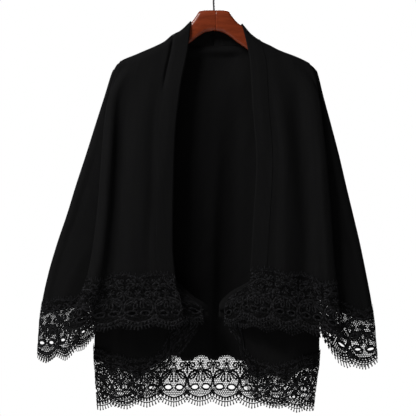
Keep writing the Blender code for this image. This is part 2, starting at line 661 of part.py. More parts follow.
def make_lace(name, plan, last, span, hem, end, facing, sign=1.0, holes=True, phase=0.5,
              turns=(), hidden=(), lift=lambda column: 0.0):
    """Strip of pierced lace that lies on a hem and hangs below it."""
    start, stop = span
    fine = [mix(start, stop, step / 400) for step in range(401)]
    reach = [0.0]
    last_point = path_point(plan(hem(fine[0])), fine[0])
    for column in fine[1:]:
        point = path_point(plan(hem(column)), column)
        reach.append(reach[-1] + float(np.linalg.norm(point - last_point)))
        last_point = point
    total = reach[-1]

    def column_at(distance):
        return float(np.interp(distance, reach, fine))

    repeats = max(int(round(total / REPEAT)), 1)
    pitch = total / repeats
    low = 0.0
    high = total

    def lower_edge(distance):
        column = column_at(distance)
        wave = abs(math.cos(math.pi * distance / pitch + (phase - 0.5) * math.pi))
        return end(column) - SCALLOP * wave ** 1.5

    def upper_edge(distance):
        column = column_at(distance)
        arch = abs(math.sin(math.pi * distance / (1.5 * pitch)))
        return hem(column) - LACE_LAP + ARCH_RISE * (1 - arch)

    per_repeat = 4
    stations = []
    count = repeats * per_repeat
    for step in range(count + 1):
        distance = total * step / count
        stations.append(distance)
    bends = [float(np.interp(column, fine, reach)) for column in turns]
    for bend in bends:
        stations = [value for value in stations
                    if abs(value - bend) > 3.0 or value in (0.0, total)]
    stations = sorted(stations + bends)
    points = []
    outline_low = []
    outline_high = []
    for distance in stations:
        outline_high.append(len(points))
        points.append((distance, upper_edge(distance)))
    for distance in stations:
        outline_low.append(len(points))
        points.append((distance, lower_edge(distance)))
    edges = []
    for first, second in zip(outline_high[:-1], outline_high[1:]):
        edges.append((first, second))
    for first, second in zip(outline_low[:-1], outline_low[1:]):
        edges.append((first, second))
    edges.append((outline_high[0], outline_low[0]))
    edges.append((outline_high[-1], outline_low[-1]))

    hole_list = []
    for index in range(repeats):
        middle = (index + phase) * pitch
        if not low + 20 < middle < high - 20 or not holes:
            continue
        column = column_at(middle)
        if any(first <= column <= second for first, second in hidden):
            continue
        for shift in (-EYE_SPACING / 2, EYE_SPACING / 2):
            at = middle + shift
            here = hem(column_at(at))
            room = lower_edge(at) - here
            if room < 74:
                continue
            scale = min(room / LACE_DEPTH * 1.1, 1.0)
            hole_list.append((at, here + EYE_DROP * scale, EYE_WIDTH / 2, EYE_HEIGHT / 2 * scale))
    for centre, drop, half_width, half_height in hole_list:
        ring = []
        for corner in range(EYE_CORNERS):
            angle = 2 * math.pi * (corner + 0.5) / EYE_CORNERS
            ring.append(len(points))
            points.append((centre + half_width * math.cos(angle),
                           drop + half_height * math.sin(angle)))
        for index, first in enumerate(ring):
            edges.append((first, ring[(index + 1) % EYE_CORNERS]))

    def near_hole(distance, drop):
        for centre, middle, half_width, half_height in hole_list:
            across = (distance - centre) / (half_width + 3.0)
            along = (drop - middle) / (half_height + 3.0)
            if across ** 2 + along ** 2 < 1:
                return True
        return False

    upright = []
    for index, distance in enumerate(stations):
        top = upper_edge(distance)
        edge = hem(column_at(distance))
        bottom = lower_edge(distance)
        upright.append((index, len(points)))
        points.append((distance, edge + 3.0))
        levels = [mix(edge, bottom, 0.42)]
        if bottom - edge > 60:
            levels.append(mix(edge, bottom, 0.8))
        for level in levels:
            if top + 4 < level < bottom - 4 and not near_hole(distance, level):
                points.append((distance, level))

    edges += upright
    result = delaunay_2d_cdt([Vector(point) for point in points], edges, [], 1, 1e-5)
    flat = result[0]
    triangles = []
    for face in result[2]:
        centre = sum((flat[index] for index in face), Vector((0.0, 0.0))) / len(face)
        inside = False
        for middle, drop, half_width, half_height in hole_list:
            across = (centre.x - middle) / half_width
            along = (centre.y - drop) / half_height
            if across ** 2 + along ** 2 < 0.86:
                inside = True
        if not inside:
            triangles.append(list(face))
    vertices = []
    for distance, drop in flat:
        column = column_at(distance)
        edge = hem(column)
        out, depth = path_point(plan(drop), column)
        outward = lace_outward(plan, column, last, drop, facing)
        lowest = max(hem(max(column - 0.35, start)), edge, hem(min(column + 0.35, stop)))
        standoff = mix(LACE_STANDOFF, 0.4, ease((drop - lowest - 4.0) / 26.0)) + lift(column)
        out += outward[0] * standoff
        depth += outward[1] * standoff
        vertices.append((sign * out, depth, -drop))
    if sign * facing < 0:
        triangles = [face[::-1] for face in triangles]
    return add_wall(new_object(name, vertices, triangles, LACE), LACE_WALL)


def front_lace_lift(column):
    """Extra room for lace round the tight fold and beside the side seam."""
    return 0.9 * ease((column - 2.8) / 0.8) + 0.9 * ease((column - 6.6) / 0.8)


def back_lace_lift(column):
    near = side_column(column)
    return 0.5 + 0.9 * ease(2.0 - abs(near - 3)) + 1.2 * (1 - ease(near / 1.2))


def make_front_lace(side):
    return make_lace("front_lace_" + side, lambda drop: front_plan(side, drop), 8, (0.0, 7.75),
                     lambda column: read(FRONT_HEM[side], column, "drop", "column"),
                     lambda column: read(FRONT_LACE_END[side], column, "drop", "column"),
                     1.0, SIDES[side], turns=(3.6, 3.85, 4, 4.33, 4.67, 5, 5.33, 5.67, 6),
                     hidden=((5.0, 7.2),), lift=front_lace_lift)


def make_back_lace():
    bends = [0.3, 0.55, 0.83, 1.05, 2, 2.35, 2.7, 3, 3.3, 3.65, 4]
    turns = bends + [BACK_LAST - column for column in bends]
    return make_lace("back_lace", back_plan, BACK_LAST, (0.25, BACK_LAST - 0.25),
                     lambda column: back_hem_drop(BACK_HEM, column),
                     lambda column: back_hem_drop(BACK_LACE_END, column), -1.0, turns=turns,
                     lift=back_lace_lift)


def make_cuff_lace(side, half):
    span = (0.0, 3.95) if half == "front" else (4.05, 8.0)
    turns = (2.4, 2.8, 3.2, 3.5, 3.75) if half == "front" else (4.25, 4.5, 4.8, 5.2, 5.6)
    return make_lace("cuff_lace_" + side + "_" + half, lambda drop: sleeve_plan(side, drop), 8,
                     span, lambda column: read(CUFF_HEM[side], column, "drop", "column"),
                     lambda column: read(CUFF_LACE_END[side], column, "drop", "column"),
                     1.0, SIDES[side], turns=turns)


def make_hanger_half(side):
    """One wooden arm, shaped along its length, closed at the joint and rounded at its tip."""
    sign = SIDES[side]
    joint = JOINT_OUT + SEAM_GAP / 2 if side == "right" else -JOINT_OUT + SEAM_GAP / 2
    corners = 12
    stations = [joint, 14, 23, 28, 33, 38, 44, 52, 64, 80, 100, 122, 144, 164, 178, 185, 188]
    rings = []
    for out in stations:
        top = read(HANGER_ARM, out, "top", "out") - ARM_LIFT[side] * ease((out - 28) / 22)
        bottom = read(HANGER_ARM, out, "bottom", "out")
        half = read(HANGER_ARM, out, "half_thickness", "out")
        middle = (top + bottom) / 2
        tall = (bottom - top) / 2
        ring = []
        for corner in range(corners):
            angle = 2 * math.pi * (corner + 0.5) / corners
            across = abs(math.cos(angle)) ** 0.7 * math.copysign(1, math.cos(angle))
            up = abs(math.sin(angle)) ** 0.7 * math.copysign(1, math.sin(angle))
            ring.append((sign * out, half * across, -(middle - tall * up)))
        rings.append(ring)
    vertices = [point for ring in rings for point in ring]
    faces = []
    for index in range(len(rings) - 1):
        for corner in range(corners):
            following = (corner + 1) % corners
            faces.append((index * corners + corner, index * corners + following,
                          (index + 1) * corners + following, (index + 1) * corners + corner))
    faces.append(tuple(range(corners)))
    faces.append(tuple((len(rings) - 1) * corners + corner for corner in range(corners)))
    item = new_object("hanger_" + side, vertices, faces, WOOD)
    work = bmesh.new()
    work.from_mesh(item.data)
    bmesh.ops.recalc_face_normals(work, faces=work.faces)
    work.to_mesh(item.data)
    work.free()
    return item


def make_hook():
    """Bent wire hook with its shank."""
    path = []
    centre_drop = HOOK_RADIUS - HOOK_WIRE
    for step in range(17):
        angle = math.radians(205 - step * 250 / 16)
        path.append((HOOK_RADIUS * math.cos(angle), centre_drop - HOOK_RADIUS * math.sin(angle)))
    path.append((6.0, centre_drop + HOOK_RADIUS + 0.5))
    path.append((1.2, centre_drop + HOOK_RADIUS + 6.5))
    path.append((0.0, centre_drop + HOOK_RADIUS + 12.0))
    path.append((0.0, HOOK_SHANK_END))
    curve = bpy.data.curves.new("hook", "CURVE")
    curve.dimensions = "3D"
    curve.bevel_depth = HOOK_WIRE * MM
    curve.bevel_resolution = 2
    curve.use_fill_caps = True
    line = curve.splines.new("POLY")
    line.points.add(len(path) - 1)
    for point, (out, drop) in zip(line.points, path):
        point.co = (out * MM, 0.0, -drop * MM, 1.0)
    curve.materials.append(METAL)
    item = bpy.data.objects.new("hook", curve)
    COLLECTION.objects.link(item)
    return item


def make_material(name, colour, roughness, metallic=0.0):
    material = bpy.data.materials.new(name)
    material.use_nodes = True
    shader = material.node_tree.nodes["Principled BSDF"]
    shader.inputs["Base Color"].default_value = (*colour, 1.0)
    shader.inputs["Roughness"].default_value = roughness
    shader.inputs["Metallic"].default_value = metallic
    return material


for existing in list(bpy.data.objects):
    bpy.data.objects.remove(existing, do_unlink=True)

COLLECTION = bpy.data.collections.new("lace_shawl")
bpy.context.scene.collection.children.link(COLLECTION)

NECK_CORNERS = {side_name: find_neck_corner(side_name) for side_name in SIDES}

KNIT = make_material("black_knit", (0.012, 0.012, 0.013), 0.9)
BAND_KNIT = make_material("black_band_knit", (0.014, 0.014, 0.015), 0.88)
LACE = make_material("black_lace", (0.01, 0.01, 0.011), 0.8)
WOOD = make_material("red_brown_wood", (0.16, 0.028, 0.012), 0.3)
METAL = make_material("bright_metal", (0.75, 0.75, 0.77), 0.22, 1.0)

make_back()
for side_name in ("left", "right"):
    make_front(side_name)
    make_sleeve(side_name)
    make_band(side_name)
    make_front_lace(side_name)
    make_cuff_lace(side_name, "front")
    make_cuff_lace(side_name, "back")
    make_hanger_half(side_name)
make_back_lace()
make_hook()
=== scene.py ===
"""Visual model of an open-front batwing shawl with lace borders on a wooden clothes hanger."""

import math
from collections import namedtuple

import bmesh
import bpy
import numpy as np
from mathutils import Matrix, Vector
from bpy.props import FloatProperty, FloatVectorProperty, IntProperty, PointerProperty


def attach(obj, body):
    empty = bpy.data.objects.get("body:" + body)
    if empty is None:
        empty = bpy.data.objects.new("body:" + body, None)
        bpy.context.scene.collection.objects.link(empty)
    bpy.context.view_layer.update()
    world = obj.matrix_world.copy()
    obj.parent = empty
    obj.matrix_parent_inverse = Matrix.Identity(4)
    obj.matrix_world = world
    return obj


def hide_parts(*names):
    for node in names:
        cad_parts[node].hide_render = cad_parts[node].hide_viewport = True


bl_info = {
    "name": "Lace Shawl",
    "version": (1, 0, 0),
    "blender": (4, 5, 0),
    "location": "3D View > Sidebar > Shawl",
    "description": "Knitted open-front shawl with lace borders, hanging on a wooden hanger",
    "category": "Object",
}

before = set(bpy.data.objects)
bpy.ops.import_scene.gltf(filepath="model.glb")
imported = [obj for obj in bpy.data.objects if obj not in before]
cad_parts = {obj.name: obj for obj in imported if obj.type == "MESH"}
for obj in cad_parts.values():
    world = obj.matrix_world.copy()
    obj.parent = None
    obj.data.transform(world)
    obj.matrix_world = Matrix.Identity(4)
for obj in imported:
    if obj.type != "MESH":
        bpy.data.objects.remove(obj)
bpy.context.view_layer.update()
MM = 0.001
SIDES = {"left": -1.0, "right": 1.0}
HANDS = (-1.0, 1.0)
TINY = 1e-9

# Cut and hang, in millimetres: drops are measured down from the top of the hook's curve, outs
# from the centre plane, and depths from front (negative) to back (positive). Columns count a
# cloth's guiding points from its first edge to its last.
Edge = namedtuple("Edge", "drop out")
Fold = namedtuple("Fold", "drop out depth radius")
Seam = namedtuple("Seam", "drop out depth")
Layer = namedtuple("Layer", "drop depth")
Hem = namedtuple("Hem", "column drop")
Slope = namedtuple("Slope", "out drop")
Wave = namedtuple("Wave", "fraction depth")
Arm = namedtuple("Arm", "out top bottom half_thickness")
Crease = namedtuple("Crease", "column top bottom width height lean")


def rows(kind, *values):
    """Rows of one table."""
    return [kind(*value) for value in values]


SHOULDER = {
    "left": rows(Slope, (45, 96), (66, 115.5), (82, 123.5), (96, 135.5), (111, 143.5),
        (150, 160.5), (188, 178), (196.5, 190.5), (204, 216)),
    "right": rows(Slope, (54.6, 101), (74, 123), (94, 136.5), (110, 144), (125, 152), (168, 169),
        (193, 183), (201, 192), (209, 218)),
}
FRONT_EDGE = {
    "left": rows(Edge, (95.5, 45), (138, 49), (232, 66), (330, 76), (440, 79), (525, 80),
        (602, 74), (650, 62), (720, 55)),
    "right": rows(Edge, (101, 54.6), (144, 64.5), (174, 70), (252, 74), (369, 82), (486, 76),
        (583, 70), (640, 64), (720, 62)),
}
BAND_WIDTH = rows(Edge, (95, 27), (140, 30), (200, 33), (720, 33))
FRONT_FOLD = {
    "left": rows(Fold, (170, 168, -10, 0.1), (185, 173, -11, 0.4), (197, 180, -13, 1.0),
        (215, 190, -16, 1.8), (242, 202, -20, 2.4), (265, 207, -23, 3.4), (310, 212, -28, 4.8),
        (369, 217, -34, 5.5), (485, 227, -40, 6.0), (602, 246, -45, 6.0), (645, 265, -47, 6.2),
        (720, 290, -48, 6.5)),
    "right": rows(Fold, (170, 170, -10, 0.1), (185, 175, -11, 0.4), (197, 182, -13, 1.0),
        (215, 192, -16, 1.8), (242, 204, -20, 2.4), (265, 208, -23, 3.4), (310, 213, -28, 4.8),
        (369, 219, -34, 5.5), (485, 228, -40, 6.0), (573, 234, -44, 6.0), (645, 241, -47, 6.2),
        (720, 250, -48, 6.5)),
}
SIDE_SEAM = {
    "left": rows(Seam, (174, 183, -9), (197, 193, -9.5), (215, 198, -10.5), (242, 203, -11),
        (265, 202, -12), (310, 191, -15), (378, 175, -17), (446, 156, -15), (505, 133, -9),
        (554, 109, -11), (602, 74, -12), (636, 38, -12), (655, 12, -12), (700, 6, -12)),
    "right": rows(Seam, (176, 185, -9), (197, 196, -9.5), (215, 201, -10.5), (242, 205, -11),
        (265, 204, -12), (310, 197, -15), (378, 186, -17), (446, 167, -15), (505, 144, -9),
        (554, 113, -11), (602, 73, -12), (628, 30, -12), (652, 10, -12), (700, 9, -12)),
}
UNDERARM = {
    "left": rows(Seam, (505, 133, -6), (560, 168, -8), (622, 203, -10), (717, 234, -12),
        (780, 244, -12)),
    "right": rows(Seam, (505, 144, -6), (560, 172, -8), (622, 192, -10), (721, 213, -12),
        (790, 224, -12)),
}
OUTER_FOLD = {
    "left": rows(Seam, (190, 196.5, 0), (197, 199.5, 0), (242, 213.5, -1), (300, 232, -2),
        (359, 250.5, -3), (417, 269.5, -4), (476, 287.5, -6), (534, 307, -8), (593, 324, -10),
        (651, 336, -12), (710, 343, -12), (758, 345, -12), (790, 345, -12)),
    "right": rows(Seam, (192, 200.5, 0), (199, 203, 0), (242, 213.5, -1), (271, 221, -2),
        (300, 229, -2), (359, 244.5, -3), (417, 258, -4), (476, 272, -6), (534, 285.5, -8),
        (593, 297.5, -10), (651, 308, -12), (710, 315.5, -12), (768, 320, -12), (800, 321, -12)),
}
BACK_FOLD = {
    "left": rows(Fold, (170, 168, 10, 0.1), (185, 173, 11, 0.4), (197, 180, 13, 1.0),
        (215, 188, 16, 1.8), (242, 199, 20, 2.4), (265, 204, 23, 3.4), (310, 208, 26, 5.0),
        (369, 212, 29, 7.0), (485, 222, 31, 8.0), (560, 227, 34, 11.0), (641, 232, 36, 14.0),
        (716, 234, 37, 15.0), (870, 228, 37, 15.0)),
    "right": rows(Fold, (170, 170, 10, 0.1), (185, 175, 11, 0.4), (197, 182, 13, 1.0),
        (215, 190, 16, 1.8), (242, 200, 20, 2.4), (265, 203, 23, 3.4), (310, 205, 26, 5.0),
        (369, 207, 29, 7.0), (485, 208, 31, 8.0), (560, 208, 34, 11.0), (641, 208, 36, 14.0),
        (729, 207, 37, 15.0), (870, 194, 37, 15.0)),
}
FRONT_LAYER = rows(Layer, (95, -9.5), (150, -11), (200, -15), (252, -20), (310, -26), (378, -32),
    (446, -36), (554, -41), (650, -45), (720, -46))
EDGE_LAYER = rows(Layer, (95, -9.5), (150, -12), (200, -16), (252, -20), (310, -24), (378, -28),
    (446, -31), (554, -36), (650, -41), (720, -42))
SLEEVE_FRONT = rows(Layer, (174, -7), (200, -7.5), (252, -8.5), (310, -11), (378, -12),
    (446, -12), (505, -12), (560, -16), (622, -21), (700, -26), (780, -26))
SLEEVE_BACK = rows(Layer, (174, 7), (200, 7.5), (252, 8.5), (310, 9), (378, 9), (446, 8),
    (505, 6), (560, 4), (622, 2), (700, 1), (780, 1))
SLEEVE_BACK_SEAM = rows(Layer, (174, 7), (215, 7), (252, 9), (310, 10), (378, 7), (446, 2),
    (505, -5), (520, -6))
BACK_SEAM = rows(Layer, (174, 9.5), (215, 10), (252, 11.5), (310, 12.5), (378, 9), (446, 4),
    (505, -3), (554, -9), (602, -10), (700, -10))
BACK_LAYER = rows(Layer, (95, 11), (143, 19), (200, 20), (252, 22), (310, 25), (378, 28),
    (446, 31), (554, 34), (650, 36), (870, 37))
BACK_WAVES = rows(Wave, (0.14, 3), (0.27, 5), (0.37, -9), (0.45, -12), (0.51, 0), (0.56, 13),
    (0.67, 8), (0.82, 0))
FRONT_HEM = {
    "left": rows(Hem, (0, 612), (2, 612), (3, 616), (4, 622), (5, 622), (6, 620), (7, 630),
        (8, 662)),
    "right": rows(Hem, (0, 598), (2, 610), (3, 620), (4, 628), (5, 630), (6, 628), (7, 636),
        (8, 662)),
}
FRONT_LACE_END = {
    "left": rows(Hem, (0, 698), (2, 700), (3, 705), (4, 714), (5, 712), (6, 706), (7, 696),
        (8, 682)),
    "right": rows(Hem, (0, 690), (2, 700), (3, 710), (4, 720), (5, 722), (6, 716), (7, 706),
        (8, 690)),
}
BACK_HEM = {
    "left": rows(Hem, (0, 662), (0.3, 671), (0.6, 700), (0.83, 722), (1.05, 760), (1.27, 777),
        (1.56, 784), (1.78, 772), (2, 766), (3, 760), (4, 753), (5, 747), (7, 745)),
    "right": rows(Hem, (0, 664), (0.35, 678), (0.52, 702), (0.66, 764), (0.97, 786), (1.55, 790),
        (1.9, 778), (2, 774), (3, 764), (4, 755), (5, 748), (7, 745)),
}
BACK_LACE_END = {
    "left": rows(Hem, (0, 682), (0.3, 712), (0.6, 745), (0.8, 770), (0.97, 806), (1.22, 836),
        (1.56, 854), (2, 860), (3, 860), (4, 856), (5, 850), (7, 846)),
    "right": rows(Hem, (0, 700), (0.35, 715), (0.52, 740), (0.66, 806), (0.97, 848), (1.55, 858),
        (2, 864), (3, 866), (4, 860), (5, 852), (7, 846)),
}
CUFF_HEM = {
    "left": rows(Hem, (0, 632), (1, 652), (2, 664), (4, 665), (6, 664), (7, 652), (8, 632)),
    "right": rows(Hem, (0, 634), (1, 664), (2, 680), (4, 678), (6, 680), (7, 664), (8, 634)),
}
CUFF_LACE_END = {
    "left": rows(Hem, (0, 724), (1, 757), (2, 766), (4, 763), (6, 763), (7, 752), (8, 721)),
    "right": rows(Hem, (0, 730), (1, 771), (2, 785), (4, 780), (6, 782), (7, 766), (8, 727)),
}
CUFF_LACE_SHIFT = {
    "left": rows(Hem, (0, 0), (1, 1), (1.5, -3), (2.2, -2), (4, 0), (8, 0)),
    "right": rows(Hem, (0, 0), (0.5, 8), (1, 9), (1.5, -2), (2, -9), (3, -10), (4, -8), (5, -9),
        (6, -8), (6.5, -1), (7, 10), (7.5, 8), (8, 0)),
}
HANGER_ARM = rows(Arm, (0, 74.5, 115, 7.6), (14, 74.6, 117, 7.6), (28, 76.5, 124, 7.4),
    (36, 88, 130, 7.0), (46, 101.5, 138, 6.6), (55, 109, 144, 6.3), (74, 129, 157, 6.0),
    (94, 142, 168, 5.8), (125, 157.5, 181, 5.6), (160, 172.5, 191, 5.4), (180, 181.5, 197, 5.0),
    (188, 188, 199, 3.6))

# Soft troughs (negative) and ridges (positive), each down one panel from a column.
FRONT_CREASES = {
    "left": rows(Crease, (1.08, 108, 224, 3.6, -2.6, -0.03), (1.25, 190, 640, 9, -1.2, 0.10),
        (1.9, 150, 520, 16, 1.5, -0.25), (3.0, 180, 720, 14, -2.2, -0.15),
        (3.9, 140, 760, 15, 4.2, -0.15), (3.42, 150, 720, 7, -1.8, -0.40),
        (0.5, 180, 420, 12, 0.9, 0.0)),
    "right": rows(Crease, (1.3, 200, 640, 8, -0.8, 0.05), (1.55, 160, 660, 13, 2.2, 0.10),
        (2.45, 150, 700, 19, -4.6, 0.15), (3.15, 150, 760, 10, 2.8, 0.10),
        (3.5, 240, 720, 8, -1.7, -0.10), (0.5, 150, 360, 10, 0.9, 0.0)),
}
BACK_CREASES = rows(Crease, (5.2, 210, 800, 14, -1.6, 0.2), (6.1, 180, 700, 18, 1.7, -0.2),
    (7.2, 240, 860, 10, -1.7, 0.1), (8.1, 300, 860, 12, 1.5, 0.2),
    (9.3, 220, 860, 13, -1.6, -0.2), (10.4, 180, 640, 16, 1.7, 0.2),
    (11.4, 260, 860, 12, -1.5, 0.1), (3.2, 300, 860, 8, 1.2, 0.1),
    (13.6, 320, 860, 8, 1.2, -0.1))
SLEEVE_CREASES = {
    "left": rows(Crease, (1.2, 330, 700, 10, 1.0, 0.4), (2.1, 300, 760, 9, -1.1, 0.2),
        (6.0, 300, 760, 10, -1.0, -0.2), (6.9, 340, 700, 9, 1.0, -0.3)),
    "right": rows(Crease, (0.9, 230, 820, 17, 3.4, 0.1), (2.2, 300, 760, 9, -0.8, 0.2),
        (6.1, 300, 760, 10, -1.0, -0.2), (7.0, 340, 700, 9, 1.0, -0.3)),
}

# Cloths. Every ramp is the place where it starts and the length that it runs.
SHOULDER_GAP = 0.9
SEAM_LAP = 2.5
ROUND_LENGTH = 14.0
ROUND_DROPS = (0.0, 0.7, 2.2, 5.0, ROUND_LENGTH)
ROW_GROWTH = 1.12
UNDERARM_DROP = 505.0
BAND_END, BAND_INNER, BAND_COLUMNS, BAND_LEAN, UNDER_BAND = 0.986, 0.03, 10, 0.6, 0.06
BESIDE_BAND, BESIDE_STEP = 1.36, 0.035
FACE_PARTS, FACE_HOLLOW, HOLLOW_RAMP = (0.36, 0.74), 4.0, (210.0, 150.0)
FRONT_ROUND, BACK_ROUND, INNER_SHARE, OPEN_SHARE, LEAST_TURN = 2.2, 1.6, 0.35, 0.2, 4.0
SEAM_REST = 1.0
FRONT_RETURN, BACK_RETURN, RETURN_SHARES, SETTLED_TURN = 0.55, 0.45, (0.5, 0.25), 30.0
SLEEVE_TURN, SLEEVE_TURN_SHARE, LEAST_SLEEVE_TURN, LEAST_SLEEVE_SHARE = 22.0, 0.36, 4.5, 0.75
SLEEVE_FACE, SLEEVE_SHOULDER, SLEEVE_FULLNESS = 0.53, 0.24, 0.66
WAVE_RAMP = (200.0, 440.0)
SECTION_TOP, SECTION_END, SECTION_STEP = 92.0, 900.0, 2.0
ARC_STEPS, SHORTEST_LEG, NEARBY = 24, 1e-6, 0.02
PER_COLUMN = 7
CLOTH_ROWS, BAND_ROWS, BACK_ROWS = 84, 90, 96
CREASE_WANDER, WANDER_LENGTH, WANDER_SHIFT = 0.05, 47.0, 1.7
CREASE_IN, CREASE_OUT = (0.0, 0.3), (0.8, 0.35)
TOP_GUESS, TOP_PASSES, TOP_PACE = 150.0, 14, 0.8

# Edge of the back's neck, and the roll and the trough behind it.
NECK_DEPTH, NECK_DROP = 19.0, 143.0
NECK_TOP_DEPTH, NECK_TOP_DROP = 15.5, 109.0
NECK_SQUARENESS, NECK_FULLNESS, NECK_STEPS = 0.45, 0.8, 30
NECK_TURN_UP, NECK_TURN_DEPTH, NECK_TURN_SHARE = 7.0, 2.4, 0.55
NECK_ROLL, NECK_ROLL_DROP, NECK_ROLL_WIDTH, NECK_ROLL_REACH = 3.4, 152.0, 8.0, 50.0
NECK_SINKS, NECK_SIDE_RAMP = (1.2, 2.1), (-5.0, 60.0)
NECK_SINK_RAMP, NECK_LEVEL_RAMP = (3.0, 9.0), (22.0, 60.0)

# Columns of the back, and its tail.
BACK_MIDDLE = 5 + (len(BACK_WAVES) - 1) / 2.0
BACK_LAST = 9 + len(BACK_WAVES)
BACK_SPAN = (0.25, BACK_LAST - 0.25)
BACK_FOLD_COLUMN, BACK_HEM_LAST = 4, 7
TAIL_DIP, TAIL_SHIFT, TAIL_RAMP, TAIL_REPEAT = 10.0, 7.0, (4.0, 1.5), 57.0

# Lace: depths below the hem, outs from a repeat's middle.
LACE_DEPTH, LACE_LAP, REPEAT = 96.0, 26.0, 51.0
ARCH_RISE, ARCH_SPAN = 8.0, 1.5
SCALLOP, SCALLOP_POWER, LEAST_SCALE = 9.0, 1.5, 0.2
TURNED_RISE, TURNED_HANG = 40.0, 40.0
HEM_STEPS, HEM_REACH = 1201, 0.35
STRIP_STEP, STRIP_ROWS, STRIP_ABOVE, STRIP_BELOW = 1.5, 71, 12.0, 8.0
STANDOFF, STANDOFF_RAMP = (1.9, 0.4), (4.0, 26.0)
THREAD_HEIGHT, SPOKE_HEIGHT, BEAD_HEIGHT, SPIKE_HEIGHT = 0.7, 0.6, 0.9, 0.5
EYE_OUT, EYE_LEVEL, EYE_OPEN, EYE_RIM = 10.9, 59.0, (6.6, 4.4), 0.9
SCROLL_WINDING, PETAL_STEPS, PETAL_LIFT, PETAL_ROOT = 0.82, 16, 0.25, 0.35
FESTOON_LEVEL, FESTOON_RISE, FESTOON_HALF, FESTOON_POWER = 79.0, 9.5, 22.0, 1.8
GARLAND_REACH, GARLAND_STEPS = 21.5, 25
SPOKE_BEND, SHORT_SPOKE, FAN_SPOKES = 0.6, 0.85, 9
BEADS, BEAD_REACH, BEAD_START, BEAD_LENGTH, BEAD_LEAN = 9, 20.2, 1.0, 6.6, 0.06
BEAD_WIDTHS = (4.4, 3.6)
FRINGE_THREADS, FRINGE_REACH, FRINGE_START, FRINGE_WIDTHS = 11, 23.2, 7.0, (1.9, 2.0, 3.1)
FRINGE_LENGTH, FRINGE_FALL, FRINGE_LEAN, FRINGE_KNOT = 10.5, 0.006, 0.026, 0.55
SHORTEST_FRINGE = 3.0
PICOT_PITCH, PICOT_DROP, PICOT_RADIUS, PICOT_WIDTH = 5.3, 4.6, 2.0, 1.5
SPIKE_PITCH, SPIKE_FOOT, SPIKE_LEAN, SPIKE_WIDTHS = 3.1, 4.0, 0.4, (1.5, 1.1)
SPIKES = (1.2, 3.4, 0.4, 2.2, 4.6, 1.0, 2.8)
NET_ROW, NET_TOP, NET_TOP_GAP, NET_END_GAP, NET_FESTOON_GAP = 0.866, 2.0, 0.8, 0.4, 2.6
DENSE_NET, DENSE_EYE, DENSE_RIM, DENSE_FROM, SEWN_NET = 1.35, (11.0, 10.5, 8.5), 0.8, 60.0, 1.2
NET_WELD = 0.00005

# One side of a repeat, out from its middle and below its hem, with threads as shares of the
# fine thread's width.
Arc = namedtuple("Arc", "out level across down start stop steps thread")
Garland = namedtuple("Garland", "spread below thread")
Stem = namedtuple("Stem", "thread steps points")
Petal = namedtuple("Petal", "out level angle length width thread")
Scroll = namedtuple("Scroll", "out level size turns steps hand thread")
Star = namedtuple("Star", "out level spokes reach turn widths")
Fan = namedtuple("Fan", "level spread start end widths")
EYE = Arc(EYE_OUT, EYE_LEVEL, 7.6, 5.4, 0, 345, 24, 0.8)
SIDE_ARC = Arc(14.0, -0.5, 8.2, 3.6, 180, 360, 12, 0.9)
MIDDLE_ARC = Arc(0.0, 10.0, 15.5, 12.5, 188, 352, 20, 1.1)
RIB_STEPS = 22
RIB = [(2.2, 31.8), (6, 29.8), (12, 29.0), (18, 31.5), (22.4, 37.5), (23.9, 45), (23.0, 53),
       (19.6, 60)]
STEMS = rows(Stem, (0.9, 2, [(6.2, 24.4), (6.2, 31)]),
             (1.1, 7, [(6.4, 28.5), (10.5, 26.8), (16.4, 25.2)]),
             (0.9, 12, [(25.0, 34), (24.8, 24), (24.0, 14), (19.8, 9.8)]))
PETALS = rows(Petal, (4.0, 34.0, 8, 15.5, 8.2, 1.1), (7.5, 32.5, 50, 16.5, 6.4, 1.2))
SCROLLS = rows(Scroll, (16.4, 18.4, 6.8, 1.35, 24, -1, 1.2), (19.8, 5.0, 4.8, 1.2, 18, 1, 1.0),
               (8.4, -7.5, 5.6, 1.2, 18, -1, 1.0), (19.6, -8.5, 5.0, 1.1, 16, 1, 0.9))
STARS = rows(Star, (0.0, 15.5, 7, 8.4, 0.2, (1.8, 2.8, 2.2)),
             (25.5, 67.5, 8, 7.6, 0.39, (3.4, 3.4, 2.6)))
FANS = rows(Fan, (-1.0, 64, 8.0, 15.5, (1.2, 1.9)), (12.0, 62, 8.6, 13.2, (1.2, 2.0)))
GARLANDS = rows(Garland, (1.0, -0.6, 1.1), (1.1, 7.4, 0.75))
DASH_LEVELS, DASH_REACH, DASH_THREAD = (24.6, 27.6, 30.6), 6.0, 0.7

# Hanger, hook and stage. The shares thin an arm's first and last rings.
JOINT_OUT, JOINT_GAP, JOINT_SHARES = 3.6, 0.04, (0.955, 0.99)
TIP_OUTS, TIP_SHARES = (181, 182.2, 182.9, 183.1), (0.93, 0.8, 0.5, 0.12)
ARM_LIFT, ARM_LIFT_RAMP = {"left": 1.18, "right": 3.3}, (28.0, 22.0)
ARM_TAPER, ARM_TAPER_RAMP = 0.5, (164.0, 19.0)
ARM_SQUARENESS, ARM_WELD = 0.7, 0.00001
HOOK_WIRE, HOOK_RADIUS, HOOK_SHANK_END = 1.8, 19.0, 74.7
HOOK_START, HOOK_TURN, HOOK_STEPS = 205, 250, 60
HOOK_NECK, HOOK_NECK_STEPS = ((6.0, 0.5), (1.2, 6.5), (0.0, 12.0)), 28
YARN_TWIST = 0.0009
FLOOR_RADIUS, FLOOR_HEIGHT = 2.4, -1.22
ROOM_LIGHT, BACKDROP_LIGHT = 0.05, 1.0
CAMERA_PLACE = (-0.0117, -4.02, -0.462)
CAMERA_LENS, CAMERA_SENSOR, CAMERA_REACH = 177.6, 36.0, 50.0
Light = namedtuple("Light", "name place aim_height size colour")
